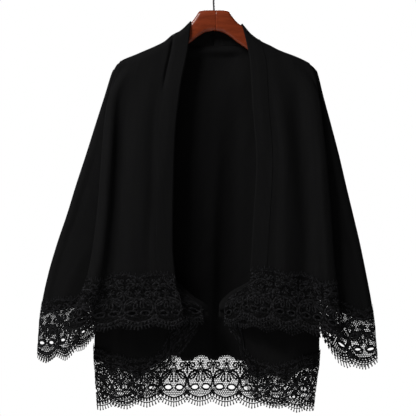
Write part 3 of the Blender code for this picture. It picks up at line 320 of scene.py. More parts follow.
LIGHTS = rows(Light, ("key", (-1.3, -1.5, 1.3), -0.42, 0.7, (1, 0.99, 0.97)),
              ("side", (-1.5, -0.85, 1.0), -0.4, 0.5, (1, 1, 0.99)),
              ("fill", (2.6, -1.8, 0.2), -0.45, 1.6, (0.97, 0.98, 1)),
              ("rear", (0.6, 2.8, 0.9), -0.4, 1.6, (1, 1, 1)))


def cubic(start, end, leaving, arriving, part):
    """Place a part of the way along a smooth step, from its ends and its slopes there."""
    return (start * (1 + 2 * part) * (1 - part) ** 2 + leaving * part * (1 - part) ** 2
            + end * part ** 2 * (3 - 2 * part) + arriving * part ** 2 * (part - 1))


class Curve:
    """Monotone cubic through one column of a table, level beyond both ends."""

    def __init__(self, table, column="depth", key="drop"):
        self.keys = np.array([getattr(row, key) for row in table], float)
        self.values = np.array([getattr(row, column) for row in table], float)
        rises = np.diff(self.values) / np.diff(self.keys)
        before, after = rises[:-1], rises[1:]
        same_way = before * after > 0
        total = np.where(same_way, before + after, 1.0)
        inner = np.where(same_way, 2 * before * after / total, 0.0)
        self.slopes = np.concatenate([rises[:1], inner, rises[-1:]])

    def __call__(self, position):
        position = np.clip(position, self.keys[0], self.keys[-1])
        index = np.searchsorted(self.keys, position, side="right") - 1
        index = np.clip(index, 0, len(self.keys) - 2)
        span = self.keys[index + 1] - self.keys[index]
        return cubic(self.values[index], self.values[index + 1], self.slopes[index] * span,
                     self.slopes[index + 1] * span, (position - self.keys[index]) / span)


def read(table, position, *columns):
    """Values of a table's columns at some drops, or its depth where no column is named."""
    values = [Curve(table, column)(position) for column in columns or ("depth",)]
    return values if len(values) > 1 else values[0]


def hem_line(table):
    return Curve(table, "drop", "column")


def shoulder_curve(side):
    return Curve(SHOULDER[side], "drop", "out")


def mix(first, second, part):
    return first + (second - first) * part


def ramp(value, start, run):
    """Smooth rise from 0 at the start to 1 where the run ends."""
    part = np.clip((value - start) / run, 0.0, 1.0)
    return part * part * (3 - 2 * part)


def run_along(points, axis=0):
    """Length run up to each point, along one line or along every line of a grid."""
    steps = np.linalg.norm(np.diff(points, axis=axis), axis=-1)
    start = np.zeros_like(np.take(steps, [0], axis))
    return np.concatenate([start, np.cumsum(steps, axis)], axis)


def smooth_line(points, steps):
    """Smooth curve through a few points."""
    points = np.asarray(points, float)
    at = run_along(points)
    slopes = np.gradient(points, at, axis=0)
    where = np.linspace(0, at[-1], steps)
    index = np.clip(np.searchsorted(at, where, side="right") - 1, 0, len(at) - 2)
    span = (at[index + 1] - at[index])[:, None]
    part = (where - at[index])[:, None] / span
    return cubic(points[index], points[index + 1], slopes[index] * span,
                 slopes[index + 1] * span, part)


def front_plan(side, drop):
    """Guiding points of a front across its band, its face, its fold and its hidden return."""
    edge, band = read(FRONT_EDGE[side], drop, "out"), read(BAND_WIDTH, drop, "out")
    fold, fold_depth, radius = read(FRONT_FOLD[side], drop, "out", "depth", "radius")
    seam, seam_depth = read(SIDE_SEAM[side], drop, "out", "depth")
    edge_depth, face = read(EDGE_LAYER, drop), read(FRONT_LAYER, drop)
    hollow = FACE_HOLLOW * ramp(drop, *HOLLOW_RAMP)
    turn = fold - seam
    inner = np.minimum(FRONT_ROUND * radius, INNER_SHARE * turn)
    back_depth = fold_depth + 2 * radius
    return [
        (edge, edge_depth),
        (edge + band, mix(edge_depth, face, BAND_LEAN)),
        (mix(edge + band, fold, FACE_PARTS[0]), face),
        (mix(edge + band, fold, FACE_PARTS[1]), face + hollow),
        (fold - np.maximum(FRONT_ROUND * radius, LEAST_TURN), fold_depth),
        (fold, fold_depth + radius),
        (fold - inner, back_depth),
        (mix(fold - inner, seam, FRONT_RETURN),
         return_depth(back_depth, seam_depth - SEAM_REST, turn)),
        (seam, seam_depth),
    ]


def return_depth(fold_side, seam_side, turn):
    """Depth of a hidden return, nearer the fold's where the return is wide."""
    return mix(fold_side, seam_side, mix(*RETURN_SHARES, ramp(np.abs(turn), 0, SETTLED_TURN)))


def sleeve_plan(side, drop):
    """Guiding points of a sleeve from its front seam round its outer fold to its back seam."""
    outer, outer_depth = read(OUTER_FOLD[side], drop, "out", "depth")
    front, back = read(SLEEVE_FRONT, drop), read(SLEEVE_BACK, drop)
    seam, seam_depth = read(SIDE_SEAM[side], drop, "out", "depth")
    under, under_depth = read(UNDERARM[side], drop, "out", "depth")
    above = drop <= UNDERARM_DROP
    inner = np.where(above, seam, under)
    front_start = np.where(above, seam_depth + SEAM_LAP, under_depth - SEAM_LAP / 2)
    back_start = np.where(above, read(SLEEVE_BACK_SEAM, drop), under_depth + SEAM_LAP / 2)
    width = outer - inner
    least = np.minimum(LEAST_SLEEVE_TURN, LEAST_SLEEVE_SHARE * width)
    turn = np.minimum(SLEEVE_TURN, np.maximum(SLEEVE_TURN_SHARE * width, least))
    face, shoulder = mix(inner, outer - turn, SLEEVE_FACE), outer - SLEEVE_SHOULDER * turn
    return [
        (inner, front_start),
        (face, front),
        (outer - turn, front),
        (shoulder, mix(outer_depth, front, SLEEVE_FULLNESS)),
        (outer, outer_depth),
        (shoulder, mix(outer_depth, back, SLEEVE_FULLNESS)),
        (outer - turn, back),
        (face, back),
        (inner, back_start),
    ]


def back_half(side, drop):
    """Side seam, hidden return and fold of the back, on one side."""
    seam, seam_depth = read(SIDE_SEAM[side], drop, "out"), read(BACK_SEAM, drop)
    fold, fold_depth, radius = read(BACK_FOLD[side], drop, "out", "depth", "radius")
    turn = fold - seam
    inner = np.minimum(BACK_ROUND * radius, INNER_SHARE * turn)
    hidden = fold_depth - 2 * radius
    open_turn = np.minimum(BACK_ROUND * radius, OPEN_SHARE * fold)
    return [
        (seam, seam_depth),
        (mix(seam, fold - inner, BACK_RETURN), return_depth(hidden, seam_depth + SEAM_REST, turn)),
        (fold - inner, hidden),
        (fold, fold_depth - radius),
        (fold - np.maximum(open_turn, LEAST_TURN), fold_depth),
    ]


def back_plan(drop):
    """Guiding points of the whole back, from its left side seam to its right one."""
    left = [(-out, depth) for out, depth in back_half("left", drop)]
    right = back_half("right", drop)
    strength = ramp(drop, *WAVE_RAMP)
    plain = read(BACK_LAYER, drop)
    middle = [(mix(left[-1][0], right[-1][0], wave.fraction), plain + wave.depth * strength)
              for wave in BACK_WAVES]
    return left + middle + right[::-1]


class Section:
    """Plan curves of one cloth at every drop, with arc lengths and outward directions."""

    def __init__(self, plan, sign, facing, creases=()):
        self.sign, self.facing, self.creases = sign, facing, creases
        drops = np.arange(SECTION_TOP, SECTION_END, SECTION_STEP)
        self.points = np.stack([np.stack(np.broadcast_arrays(out, depth, drops)[:2], -1)
                                for out, depth in plan(drops)], 1)
        self.last = self.points.shape[1] - 1
        legs = np.diff(self.points, axis=1)
        sizes = np.maximum(np.linalg.norm(legs, axis=2, keepdims=True), SHORTEST_LEG)
        units = legs / sizes
        before, after = sizes[:, :-1], sizes[:, 1:]
        inner = (units[:, :-1] * after + units[:, 1:] * before) / (before + after)
        self.turns = np.concatenate([units[:, :1], inner, units[:, -1:]], 1)
        fine = np.linspace(0, self.last, self.last * ARC_STEPS + 1)
        self.arcs = run_along(self.flat(fine[None, :], drops[:, None]), 1)

    def flat(self, column, drop):
        """Undented plan points (out, depth) in millimetres."""
        column, drop = np.broadcast_arrays(np.asarray(column, float), np.asarray(drop, float))
        row = np.clip((drop - SECTION_TOP) / SECTION_STEP, 0, len(self.points) - 1.001)
        low = row.astype(int)
        blend = (row - low)[..., None]
        column = np.clip(column, 0, self.last)
        index = np.minimum(column.astype(int), self.last - 1)

        def pick(grid, at):
            return grid[low, at] * (1 - blend) + grid[low + 1, at] * blend

        here, there = pick(self.points, index), pick(self.points, index + 1)
        step = np.linalg.norm(there - here, axis=-1, keepdims=True)
        return cubic(here, there, pick(self.turns, index) * step,
                     pick(self.turns, index + 1) * step, (column - index)[..., None])

    def arc(self, column, drop):
        """Length along the plan curve from column 0."""
        column, drop = np.broadcast_arrays(np.asarray(column, float), np.asarray(drop, float))
        row = np.rint((drop - SECTION_TOP) / SECTION_STEP)
        row = np.clip(row, 0, len(self.arcs) - 1).astype(int)
        at = np.clip(column, 0, self.last) * ARC_STEPS
        low = np.minimum(at.astype(int), self.arcs.shape[1] - 2)
        part = at - low
        return self.arcs[row, low] * (1 - part) + self.arcs[row, low + 1] * part

    def outward(self, column, drop):
        run = self.flat(column + NEARBY, drop) - self.flat(column - NEARBY, drop)
        run = run / np.maximum(np.linalg.norm(run, axis=-1, keepdims=True), TINY)
        return np.stack([run[..., 1], -run[..., 0]], -1) * self.facing

    def relief(self, column, drop):
        """Height of the soft creases at a place."""
        here = self.arc(column, drop)
        total = np.zeros_like(here)
        for number, crease in enumerate(self.creases):
            run = (drop - crease.top) / (crease.bottom - crease.top)
            wander = CREASE_WANDER * np.sin(drop / WANDER_LENGTH + WANDER_SHIFT * number)
            middle = self.arc(crease.column + crease.lean * run + wander, drop)
            fade = ramp(run, *CREASE_IN) * (1 - ramp(run, *CREASE_OUT))
            total += crease.height * fade * np.exp(-((here - middle) / crease.width) ** 2)
        return total * bpy.context.scene.shawl_knit.crease_depth

    def place(self, column, drop, standoff=0.0):
        """World points in metres, with the creases and a distance outward."""
        away = self.relief(column, drop) + standoff
        spot = self.flat(column, drop) + self.outward(column, drop) * away[..., None]
        drop = np.broadcast_to(drop, spot.shape[:-1])
        return np.stack([self.sign * spot[..., 0], spot[..., 1], -drop], -1) * MM


def front_section(side, facing=1.0, creases=True):
    return Section(lambda drop: front_plan(side, drop), SIDES[side], facing,
                   FRONT_CREASES[side] if creases else ())


def sleeve_section(side):
    return Section(lambda drop: sleeve_plan(side, drop), SIDES[side], 1.0, SLEEVE_CREASES[side])


def back_section():
    return Section(back_plan, 1.0, -1.0, BACK_CREASES)


def over_arm(drops, top):
    """Share of a cloth's own depth that is left where it rounds over the hanger's arm."""
    part = np.clip((drops - top[:, None]) / ROUND_LENGTH, 0.0, 1.0)
    return np.sqrt(1 - (1 - part) ** 2)


def find_top(section, columns, top_drop):
    """Drop at which each column meets the shoulder line."""
    drops = np.full(len(columns), TOP_GUESS)
    for _ in range(TOP_PASSES):
        drops = mix(drops, top_drop(section.flat(columns, drops)[..., 0]), TOP_PACE)
    return drops


def column_drops(top, bottom, count):
    """Drops down every column, closer together where the cloth rounds over the arm."""
    left = count - len(ROUND_DROPS) + 1
    parts = (np.arange(left) + 1) / left
    close = np.stack([top + drop for drop in ROUND_DROPS], 1)
    return np.concatenate([close, mix(close[:, -1:], bottom[:, None],
                                      parts[None, :] ** ROW_GROWTH)], 1)


def hang(section, columns, top, bottom, count, base):
    """Points of a hung cloth, brought together over the arm, and their drops."""
    drops = column_drops(top, bottom, count)
    points = section.place(columns[:, None], drops)
    base = base(drops) if callable(base) else base
    points[..., 1] = mix(base * MM, points[..., 1], over_arm(drops, top))
    return points, drops


def neck_run(reach, shoulder, depth, drop, angle):
    """Out, depth and drop round half of the neck's edge."""
    out = reach * np.maximum(np.cos(angle), 0.0) ** NECK_SQUARENESS
    return out, depth * np.sin(angle) ** NECK_FULLNESS, mix(shoulder, drop, np.sin(angle) ** 2)


def neck_angle(share):
    return np.arccos(np.clip(share, 0.0, 1.0) ** (1 / NECK_SQUARENESS))


def neck_turn(angle):
    """How far the back's edge is turned up behind the band, from nothing to all."""
    return ramp(np.sin(angle), 0, NECK_TURN_SHARE)


def neck_corner(side):
    """Where the neck band's outer edge crosses the shoulder line."""
    section = front_section(side)
    top = find_top(section, np.array([BAND_END]), shoulder_curve(side))
    return float(section.flat(BAND_END, top)[0, 0]), float(top[0])


def collection_of(name):
    found = bpy.data.collections.get(name)
    if found is None:
        found = bpy.data.collections.new(name)
        bpy.context.scene.collection.children.link(found)
    return found


def on_part(piece):
    """Puts a piece in the shawl's collection, on the part's body."""
    collection_of("shawl").objects.link(piece)
    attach(piece, "root")
    return piece


def new_piece(name, points, faces, material, flat_map=None):
    """Mesh piece on the part's body, with its cloth map in metres."""
    mesh = bpy.data.meshes.new(name)
    points = np.asarray(points, float).reshape(-1, 3)
    mesh.from_pydata(points.tolist(), [], [tuple(face) for face in faces])
    if flat_map is not None:
        flat = np.asarray(flat_map, float).reshape(-1, 2)
        whole = 0.005 + 0.99 * (flat - flat.min(0)) / (flat.max(0) - flat.min(0))
        corners = np.zeros(len(mesh.loops), int)
        mesh.loops.foreach_get("vertex_index", corners)
        for layer, places in (("cloth", flat), ("OFBake", whole)):
            mesh.uv_layers.new(name=layer).data.foreach_set("uv", places[corners].ravel())
    mesh.shade_smooth()
    mesh.materials.append(material)
    return on_part(bpy.data.objects.new(name, mesh))


def grid_faces(columns, count, flip):
    """Quads of a grid whose points run down each column in turn."""
    corner = (np.arange(columns - 1)[:, None] * count + np.arange(count - 1)[None, :]).ravel()
    quads = np.stack([corner, corner + count, corner + count + 1, corner + 1], 1)
    return (quads[:, ::-1] if flip else quads).tolist()


def ring_faces(here, there, count):
    """Quads between two closed rings of points, from the first point of each."""
    corner = np.arange(count)[None, :]
    after = (corner + 1) % count
    return np.stack([here + corner, here + after, there + after, there + corner],
                    -1).reshape(-1, 4)


def reshape(piece, work_on):
    """Edits a piece's mesh with bmesh."""
    work = bmesh.new()
    work.from_mesh(piece.data)
    work_on(work)
    work.to_mesh(piece.data)
    work.free()


def declare_cut(piece):
    """Reads the flat map of a hung sheet from its cloth layer, and does nothing more with it."""
    mesh = piece.data
    flat = np.empty(len(mesh.loops) * 2)
    mesh.uv_layers["cloth"].data.foreach_get("uv", flat)
    flat = flat.reshape(-1, 2)


def cloth_piece(name, node, points, flat_map, flip, material, band=False):
    """A hung cloth with its wall, in its solid's place."""
    knit, faces = bpy.context.scene.shawl_knit, grid_faces(*points.shape[:2], flip)
    piece = new_piece(name, points, faces, material, flat_map)
    shell = piece.modifiers.new("Wall", "SOLIDIFY")
    shell.thickness = knit.band_wall if band else knit.wall
    shell.offset = 0.0
    shell.use_even_offset = False
    shell.use_quality_normals = True
    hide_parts(node)
    declare_cut(piece)


def plan_map(section, columns, drops):
    """Flat map of a hung cloth: the run along its plan curves by the drop."""
    return np.stack([section.arc(columns[:, None], drops) * MM, -drops * MM], -1)


def fine_columns(last, start, per_column, extra=()):
    steps = np.linspace(start, last, int((last - start) * per_column) + 1)
    return np.unique(np.round(np.concatenate([steps, np.array(extra, float)]), 4))


def make_front(side, material):
    section = front_section(side)
    columns = fine_columns(section.last, BAND_END - UNDER_BAND, PER_COLUMN,
                           np.arange(BAND_END, BESIDE_BAND, BESIDE_STEP))
    top = find_top(section, columns, shoulder_curve(side))
    points, drops = hang(section, columns, top, hem_line(FRONT_HEM[side])(columns), CLOTH_ROWS,
                         -SHOULDER_GAP / 2)
    cloth_piece("front_cloth_" + side, "front_" + side, points,
                plan_map(section, columns, drops), side == "right", material)


def make_sleeve(side, material):
    section = sleeve_section(side)
    columns = fine_columns(section.last, 0, PER_COLUMN)
    mirrored = np.minimum(columns, section.last - columns)
    top = find_top(section, mirrored, shoulder_curve(side)) + SEAM_LAP
    points, drops = hang(section, columns, top, hem_line(CUFF_HEM[side])(columns), CLOTH_ROWS,
                         lambda drops: read(OUTER_FOLD[side], drops))
    middle = len(columns) // 2
    front = np.arange(middle)
    back = len(columns) - 1 - front
    shared = (points[front, 0] + points[back, 0]) / 2
    shared[:, 1] = points[middle, 0, 1]
    points[front, 0] = points[back, 0] = shared
    cloth_piece("sleeve_cloth_" + side, "sleeve_" + side, points,
                plan_map(section, columns, drops), side == "right", material)


def nearer_seam(column):
    """Column of the back counted from its nearer side seam."""
    return np.where(column < BACK_MIDDLE, column, BACK_LAST - column)


def tail_line(tables, column):
    """Hem or lace end of the back, which hangs a little lower between its folded sides."""
    near = nearer_seam(column)
    fold = BACK_FOLD_COLUMN
    inner = fold + (near - fold) / (BACK_MIDDLE - fold) * (BACK_HEM_LAST - fold)
    part = np.where(near <= fold, near, inner)
    line = np.where(column < BACK_MIDDLE, hem_line(tables["left"])(part),
                    hem_line(tables["right"])(part))
    return line + TAIL_SHIFT * ramp(np.minimum(column, BACK_LAST - column), *TAIL_RAMP)


def tail_scallop(section, columns):
    """How far the tail's cloth dips between the lace's domes."""
    fine = np.linspace(*BACK_SPAN, HEM_STEPS)
    reach = run_along(section.flat(fine, tail_line(BACK_HEM, fine)))
    pitch = reach[-1] / round(reach[-1] / TAIL_REPEAT)
    return TAIL_DIP * np.cos(math.pi * np.interp(columns, fine, reach) / pitch) ** 2


def neck_folds(outs, drops):
    """Depth added by the roll behind the neck and the trough under it, deeper on the right."""
    below = drops - NECK_ROLL_DROP
    rise = np.exp(-(below / NECK_ROLL_WIDTH) ** 2)
    sink = ramp(below, *NECK_SINK_RAMP) - ramp(below, *NECK_LEVEL_RAMP)
    deeper = mix(*NECK_SINKS, ramp(outs, *NECK_SIDE_RAMP))
    return NECK_ROLL * (deeper * sink - rise) * np.exp(-(outs / NECK_ROLL_REACH) ** 4)


def make_back(material):
    section = back_section()
    columns = fine_columns(BACK_LAST, 0, 2 * PER_COLUMN)
    corners = {side: neck_corner(side) for side in SIDES}

    def top_drop(out):
        reach = np.abs(out)
        result = np.empty_like(reach)
        for side, sign in SIDES.items():
            corner_out, corner_drop = corners[side]
            angle = neck_angle(reach / corner_out)
            curve = neck_run(corner_out, corner_drop, NECK_DEPTH, NECK_DROP, angle)[2]
            line = np.where(reach >= corner_out, shoulder_curve(side)(reach),
                            curve - NECK_TURN_UP * neck_turn(angle))
            result = np.where(out >= 0 if sign > 0 else out < 0, line, result)
        return result

    def base(drops):
        outs = section.flat(columns[:, None], drops)[..., 0]
        reach = np.where(outs < 0, corners["left"][0], corners["right"][0])
        angle = neck_angle(np.abs(outs) / reach)
        return (SHOULDER_GAP / 2 + neck_run(reach, 0.0, NECK_DEPTH, 0.0, angle)[1]
                + NECK_TURN_DEPTH * neck_turn(angle))

    top = find_top(section, columns, top_drop)
    bottom = tail_line(BACK_HEM, columns) + tail_scallop(section, columns)
    points, drops = hang(section, columns, top, bottom, BACK_ROWS, base)
    outs = section.flat(columns[:, None], drops)[..., 0]
    points[..., 1] += neck_folds(outs, drops) * over_arm(drops, top) * MM
    cloth_piece("back_cloth", "back", points,
                plan_map(section, columns, drops), True, material)


def band_points(side, columns):
    """Half of the neck band: up one front edge, over the shoulder, to the centre back."""
    section = front_section(side)
    top = find_top(section, columns, shoulder_curve(side))
    front, _ = hang(section, columns, top, hem_line(FRONT_HEM[side])(columns), BAND_ROWS,
                    -SHOULDER_GAP / 2)
    front = front[:, ::-1]
    angles = neck_angle(np.linspace(1, 0, NECK_STEPS)[1:] ** NECK_SQUARENESS)
    out, depth, drop = neck_run(np.abs(front[:, -1:, 0]) / MM, -front[:, -1:, 2] / MM,
                                mix(NECK_TOP_DEPTH, NECK_DEPTH, columns)[:, None],
                                mix(NECK_TOP_DROP, NECK_DROP, columns)[:, None],
                                angles[None, :])
    run = np.stack([SIDES[side] * out, depth, -drop], -1) * MM
    front[:, -1, 1] = 0.0
    return np.concatenate([front, run], 1)


def make_band(side, material):
    columns = np.append(np.linspace(0, BAND_END - BAND_INNER, BAND_COLUMNS), BAND_END)
    points = band_points(side, columns)
    along, across = run_along(points, 1), run_along(points, 0)
    flat_map = np.stack([across, along.mean(0)[None, :] + np.zeros_like(along)], -1)
    cloth_piece("neck_band_cloth_" + side, "neck_band_" + side, points,
                flat_map, side == "left", material, band=True)


class Strip:
    """A border's own flat sheet: distance along the hem and depth below it, on the cloth."""

    def __init__(self, section, span, hem, end, lift, repeat):
        self.hem, self.end = hem, end
        self.fine = np.linspace(*span, HEM_STEPS)
        self.reach = run_along(section.flat(self.fine, hem(self.fine)))
        self.total = float(self.reach[-1])
        self.repeats = max(int(round(self.total / repeat)), 1)
        self.pitch = self.total / self.repeats
        self.across = np.linspace(0, self.total, int(self.total / STRIP_STEP) + 2)
        self.down = np.linspace(-LACE_LAP - STRIP_ABOVE, LACE_DEPTH + STRIP_BELOW, STRIP_ROWS)
        column, depth = self.column_at(self.across)[:, None], self.down[None, :]
        drop = hem(column) + np.where(depth > 0, depth * self.scale(self.across)[:, None], depth)
        lowest = np.maximum.reduce([hem(np.clip(column + shift, *span))
                                    for shift in (-HEM_REACH, 0.0, HEM_REACH)])
        standoff = mix(*STANDOFF, ramp(drop - lowest, *STANDOFF_RAMP))
        self.sheet = section.place(column, drop, standoff + lift(column))
        normal = np.cross(*np.gradient(self.sheet, axis=(0, 1)))
        size = np.maximum(np.linalg.norm(normal, axis=-1, keepdims=True), TINY)
        away = section.outward(column, drop)
        facing = np.sign(section.sign * normal[..., 0] * away[..., 0]
                         + normal[..., 1] * away[..., 1])[..., None]
        self.normals = normal / size * np.where(facing == 0, 1.0, facing)

    def column_at(self, distance):
        return np.interp(distance, self.reach, self.fine)

    def upper(self, distance):
        """Depth of the sewn edge, in shallow arches."""
        arch = np.abs(np.sin(math.pi * distance / (ARCH_SPAN * self.pitch)))
        return -LACE_LAP + ARCH_RISE * (1 - arch)

    def scale(self, distance):
        column = self.column_at(distance)
        return (self.end(column) - self.hem(column)) / LACE_DEPTH

    def lower(self, distance):
        """Depth of the scalloped edge, before the border's own scaling."""
        wave = np.abs(np.cos(math.pi * distance / self.pitch)) ** SCALLOP_POWER
        return LACE_DEPTH - SCALLOP * wave / np.maximum(self.scale(distance), LEAST_SCALE)

    def look(self, grid, flat):
        """Value of a grid over the sheet at flat points (distance, depth)."""
        at = np.clip(flat[..., 0] / self.total, 0, 1) * (len(self.across) - 1)
        down = (flat[..., 1] - self.down[0]) / (self.down[-1] - self.down[0])
        down = np.clip(down, 0, 1) * (len(self.down) - 1)
        i = np.minimum(at.astype(int), len(self.across) - 2)
        j = np.minimum(down.astype(int), len(self.down) - 2)
        u, v = (at - i)[..., None], (down - j)[..., None]
        return mix(mix(grid[i, j], grid[i, j + 1], v), mix(grid[i + 1, j], grid[i + 1, j + 1], v),
                   u)

    def cut(self, flat):
        """Real flat place on the border in metres, with its depth scaled as on the cloth."""
        deep = flat[..., 1]
        deep = np.where(deep > 0, deep * self.scale(flat[..., 0]), deep)
        return np.stack([flat[..., 0], deep], -1) * MM

    def point(self, flat, height=0.0):
        return self.look(self.sheet, flat) + self.look(self.normals, flat) * height * MM


class Threads:
    """Flattened threads laid on a strip, gathered into one mesh."""

    def __init__(self, strip):
        self.strip, self.points, self.faces, self.maps, self.count = strip, [], [], [], 0

    def add(self, line, width, height=THREAD_HEIGHT, closed=False, lift=0.0):
        line = np.asarray(line, float)
        ahead, behind = np.roll(line, -1, 0) - line, line - np.roll(line, 1, 0)
        if not closed:
            ahead[-1], behind[0] = behind[-1], ahead[0]
        run = ahead + behind
        run /= np.maximum(np.linalg.norm(run, axis=1, keepdims=True), TINY)
        side = np.stack([-run[:, 1], run[:, 0]], 1)
        half = np.broadcast_to(np.asarray(width, float) / 2, (len(line),))[:, None]
        rails = (line + side * half, line, line - side * half, line)
        rises = (lift, lift + height / 2, lift, lift - height / 2)
        ring = np.stack([self.strip.point(rail, rise) for rail, rise in zip(rails, rises)], 1)
        flat = np.stack([self.strip.cut(rail) for rail in rails], 1)
        here = np.arange(len(line) if closed else len(line) - 1)[:, None]
        there = (here + 1) % len(line)
        first, end = self.count, self.count + 4 * (len(line) - 1)
        self.faces += ring_faces(first + 4 * here, first + 4 * there, 4).tolist()
        if not closed:
            self.faces += [[first + 3, first + 2, first + 1, first],
                           [end, end + 1, end + 2, end + 3]]
        self.points.append(ring.reshape(-1, 3))
        self.maps.append(flat.reshape(-1, 2))
        self.count = end + 4

    def piece(self, name, material):
        return new_piece(name, np.concatenate(self.points), self.faces, material,
                         np.concatenate(self.maps))


def round_line(middle, angles, across, down):
    return np.stack([middle[0] + across * np.cos(angles), middle[1] + down * np.sin(angles)], 1)


def arc_line(arc):
    angles = np.radians(np.linspace(arc.start, arc.stop, arc.steps))
    return round_line((arc.out, arc.level), angles, arc.across, arc.down)


def spiral_line(scroll):
    """Line that winds in to its middle."""
    part = np.linspace(0, 1, scroll.steps)
    radius = scroll.size * (1 - SCROLL_WINDING * part)
    angles = math.pi / 2 + scroll.hand * part * scroll.turns * 2 * math.pi
    return round_line((scroll.out, scroll.level), angles, radius, radius)


def petal_line(petal):
    """Closed loop from the petal's root, broader toward its end."""
    part = np.linspace(0, 2 * math.pi, PETAL_STEPS, endpoint=False)
    outer = (1 - np.cos(part)) / 2
    along, turn = outer * petal.length, math.radians(petal.angle)
    side = np.sin(part) * petal.width / 2 * mix(PETAL_ROOT, 1.0, outer)
    return np.stack([petal.out + along * math.sin(turn) + side * math.cos(turn),
                     petal.level + along * math.cos(turn) - side * math.sin(turn)], 1)


def festoon(u):
    """Depth of the beaded arc under a medallion."""
    return FESTOON_LEVEL - FESTOON_RISE * (np.abs(u) / FESTOON_HALF) ** FESTOON_POWER


def side_chart(outline, fine):
    """Lines on the right of a repeat's middle, with their widths and how they are laid."""
    ring, petal = {"closed": True}, {"closed": True, "lift": PETAL_LIFT}
    lines = [(smooth_line(RIB, RIB_STEPS), outline, {}),
             (arc_line(EYE), outline * EYE.thread, ring),
             (arc_line(SIDE_ARC), fine * SIDE_ARC.thread, {})]
    lines += [(smooth_line(row.points, row.steps), fine * row.thread, {}) for row in STEMS]
    lines += [(petal_line(row), fine * row.thread, petal) for row in PETALS]
    return lines + [(spiral_line(row), fine * row.thread, {}) for row in SCROLLS]


def lay_repeat(threads, chart, fine, middle, stretch):
    """One repeat of the border: medallion, scrolls, stars, beaded arc and fringe."""

    def draw(line, width, height=THREAD_HEIGHT, hand=1.0, **how):
        line = np.asarray(line, float) * (hand * stretch, 1.0) + (middle, 0.0)
        threads.add(line, width, height, **how)

    for hand in HANDS:
        for line, width, how in chart:
            draw(line, width, hand=hand, **how)
    for fan in FANS:
        for angle in np.radians(np.linspace(-fan.spread, fan.spread, FAN_SPOKES)):
            way = np.array((math.sin(angle), -math.cos(angle)))
            draw([(0.0, fan.level) + way * part for part in (fan.start, fan.end)], fan.widths,
                 SPOKE_HEIGHT)
    for star in STARS:
        centre = np.array((star.out, star.level))
        for spoke in range(star.spokes):
            angle = 2 * math.pi * spoke / star.spokes + star.turn
            size = star.reach if spoke % 2 else star.reach * SHORT_SPOKE
            way = size * np.array((math.cos(angle), math.sin(angle)))
            draw([centre, centre + SPOKE_BEND * way, centre + way], star.widths)
    for level in DASH_LEVELS:
        draw([(-DASH_REACH, level), (DASH_REACH, level)], fine * DASH_THREAD)
    draw(arc_line(MIDDLE_ARC), fine * MIDDLE_ARC.thread)
    u = np.linspace(-GARLAND_REACH, GARLAND_REACH, GARLAND_STEPS)
    for row in GARLANDS:
        draw(np.stack([u * row.spread, festoon(u) + row.below], 1), fine * row.thread)
    for u in np.linspace(-BEAD_REACH, BEAD_REACH, BEADS):
        start = np.array((u, festoon(u) - BEAD_START))
        draw([start, start + (u * BEAD_LEAN, BEAD_LENGTH)], BEAD_WIDTHS, BEAD_HEIGHT)
    for u in np.linspace(-FRINGE_REACH, FRINGE_REACH, FRINGE_THREADS):
        start = np.array((u, festoon(u) + FRINGE_START))
        length = min(float(threads.strip.lower(middle + u * stretch)) - start[1],
                     FRINGE_LENGTH - FRINGE_FALL * u * u)
        if length >= SHORTEST_FRINGE:
            tip = start + (u * FRINGE_LEAN * length, length)
            draw([start, mix(start, tip, FRINGE_KNOT), tip], FRINGE_WIDTHS, SPOKE_HEIGHT)


def net_cells(strip, pitch, thread_width, eyes):
    """Middles of the net's open cells and the half width of the thread round each."""
    count = int(strip.total / pitch) + 1
    across = strip.total / count
    cells = []
    depths = np.arange(-LACE_LAP - NET_TOP, LACE_DEPTH, pitch * NET_ROW)
    for level, depth in enumerate(depths):
        odd = level % 2
        distance = (np.arange(count + 1 - odd) + 0.5 * odd) * across
        cells.append(np.stack([distance, np.full_like(distance, depth)], 1))
    cells = np.concatenate(cells)
    local = (cells[:, 0] / strip.pitch % 1.0 - 0.5) * REPEAT
    lowest = festoon(np.clip(np.abs(local), 0, REPEAT / 2)) - NET_FESTOON_GAP
    keep = (cells[:, 1] > strip.upper(cells[:, 0]) + NET_TOP_GAP) & (cells[:, 1] < lowest)
    keep &= np.abs(cells[:, 0] - strip.total / 2) < strip.total / 2 - across * NET_END_GAP
    for middle, size in eyes:
        keep &= (((cells - middle) / (size + EYE_RIM)) ** 2).sum(1) > 1
    local, cells = local[keep], cells[keep]
    thread = np.full(len(cells), thread_width / 2)
    low, (out, wide, tall) = cells[:, 1], DENSE_EYE
    round_eye = ((np.abs(local) - out) / wide) ** 2 + ((low - EYE_LEVEL) / tall) ** 2
    thread[(low > DENSE_FROM) & (low < festoon(local)) & (round_eye > DENSE_RIM)] *= DENSE_NET
    thread[low < 0] *= SEWN_NET
    return cells, thread, across


def make_net(name, strip, lace, eyes, material):
    """Open honeycomb net between the border's threads."""
    pitch = lace.net_pitch / MM
    cells, thread, across = net_cells(strip, pitch, lace.net_thread / MM, eyes)
    corners = np.radians(np.arange(6) * 60 + 30)
    ring = np.stack([np.cos(corners) * across, np.sin(corners) * pitch], 1) / math.sqrt(3)
    outer = cells[:, None, :] + ring[None]
    inner = cells[:, None, :] + ring[None] * (1 - 2 * thread / pitch)[:, None, None]
    flat = np.concatenate([outer, inner], 1).reshape(-1, 2)
    base = np.arange(len(cells))[:, None] * 12
    piece = new_piece(name, strip.point(flat), ring_faces(base, base + 6, 6).tolist(), material,
                      strip.cut(flat))
    reshape(piece, lambda work: bmesh.ops.remove_doubles(work, verts=work.verts, dist=NET_WELD))
    return piece


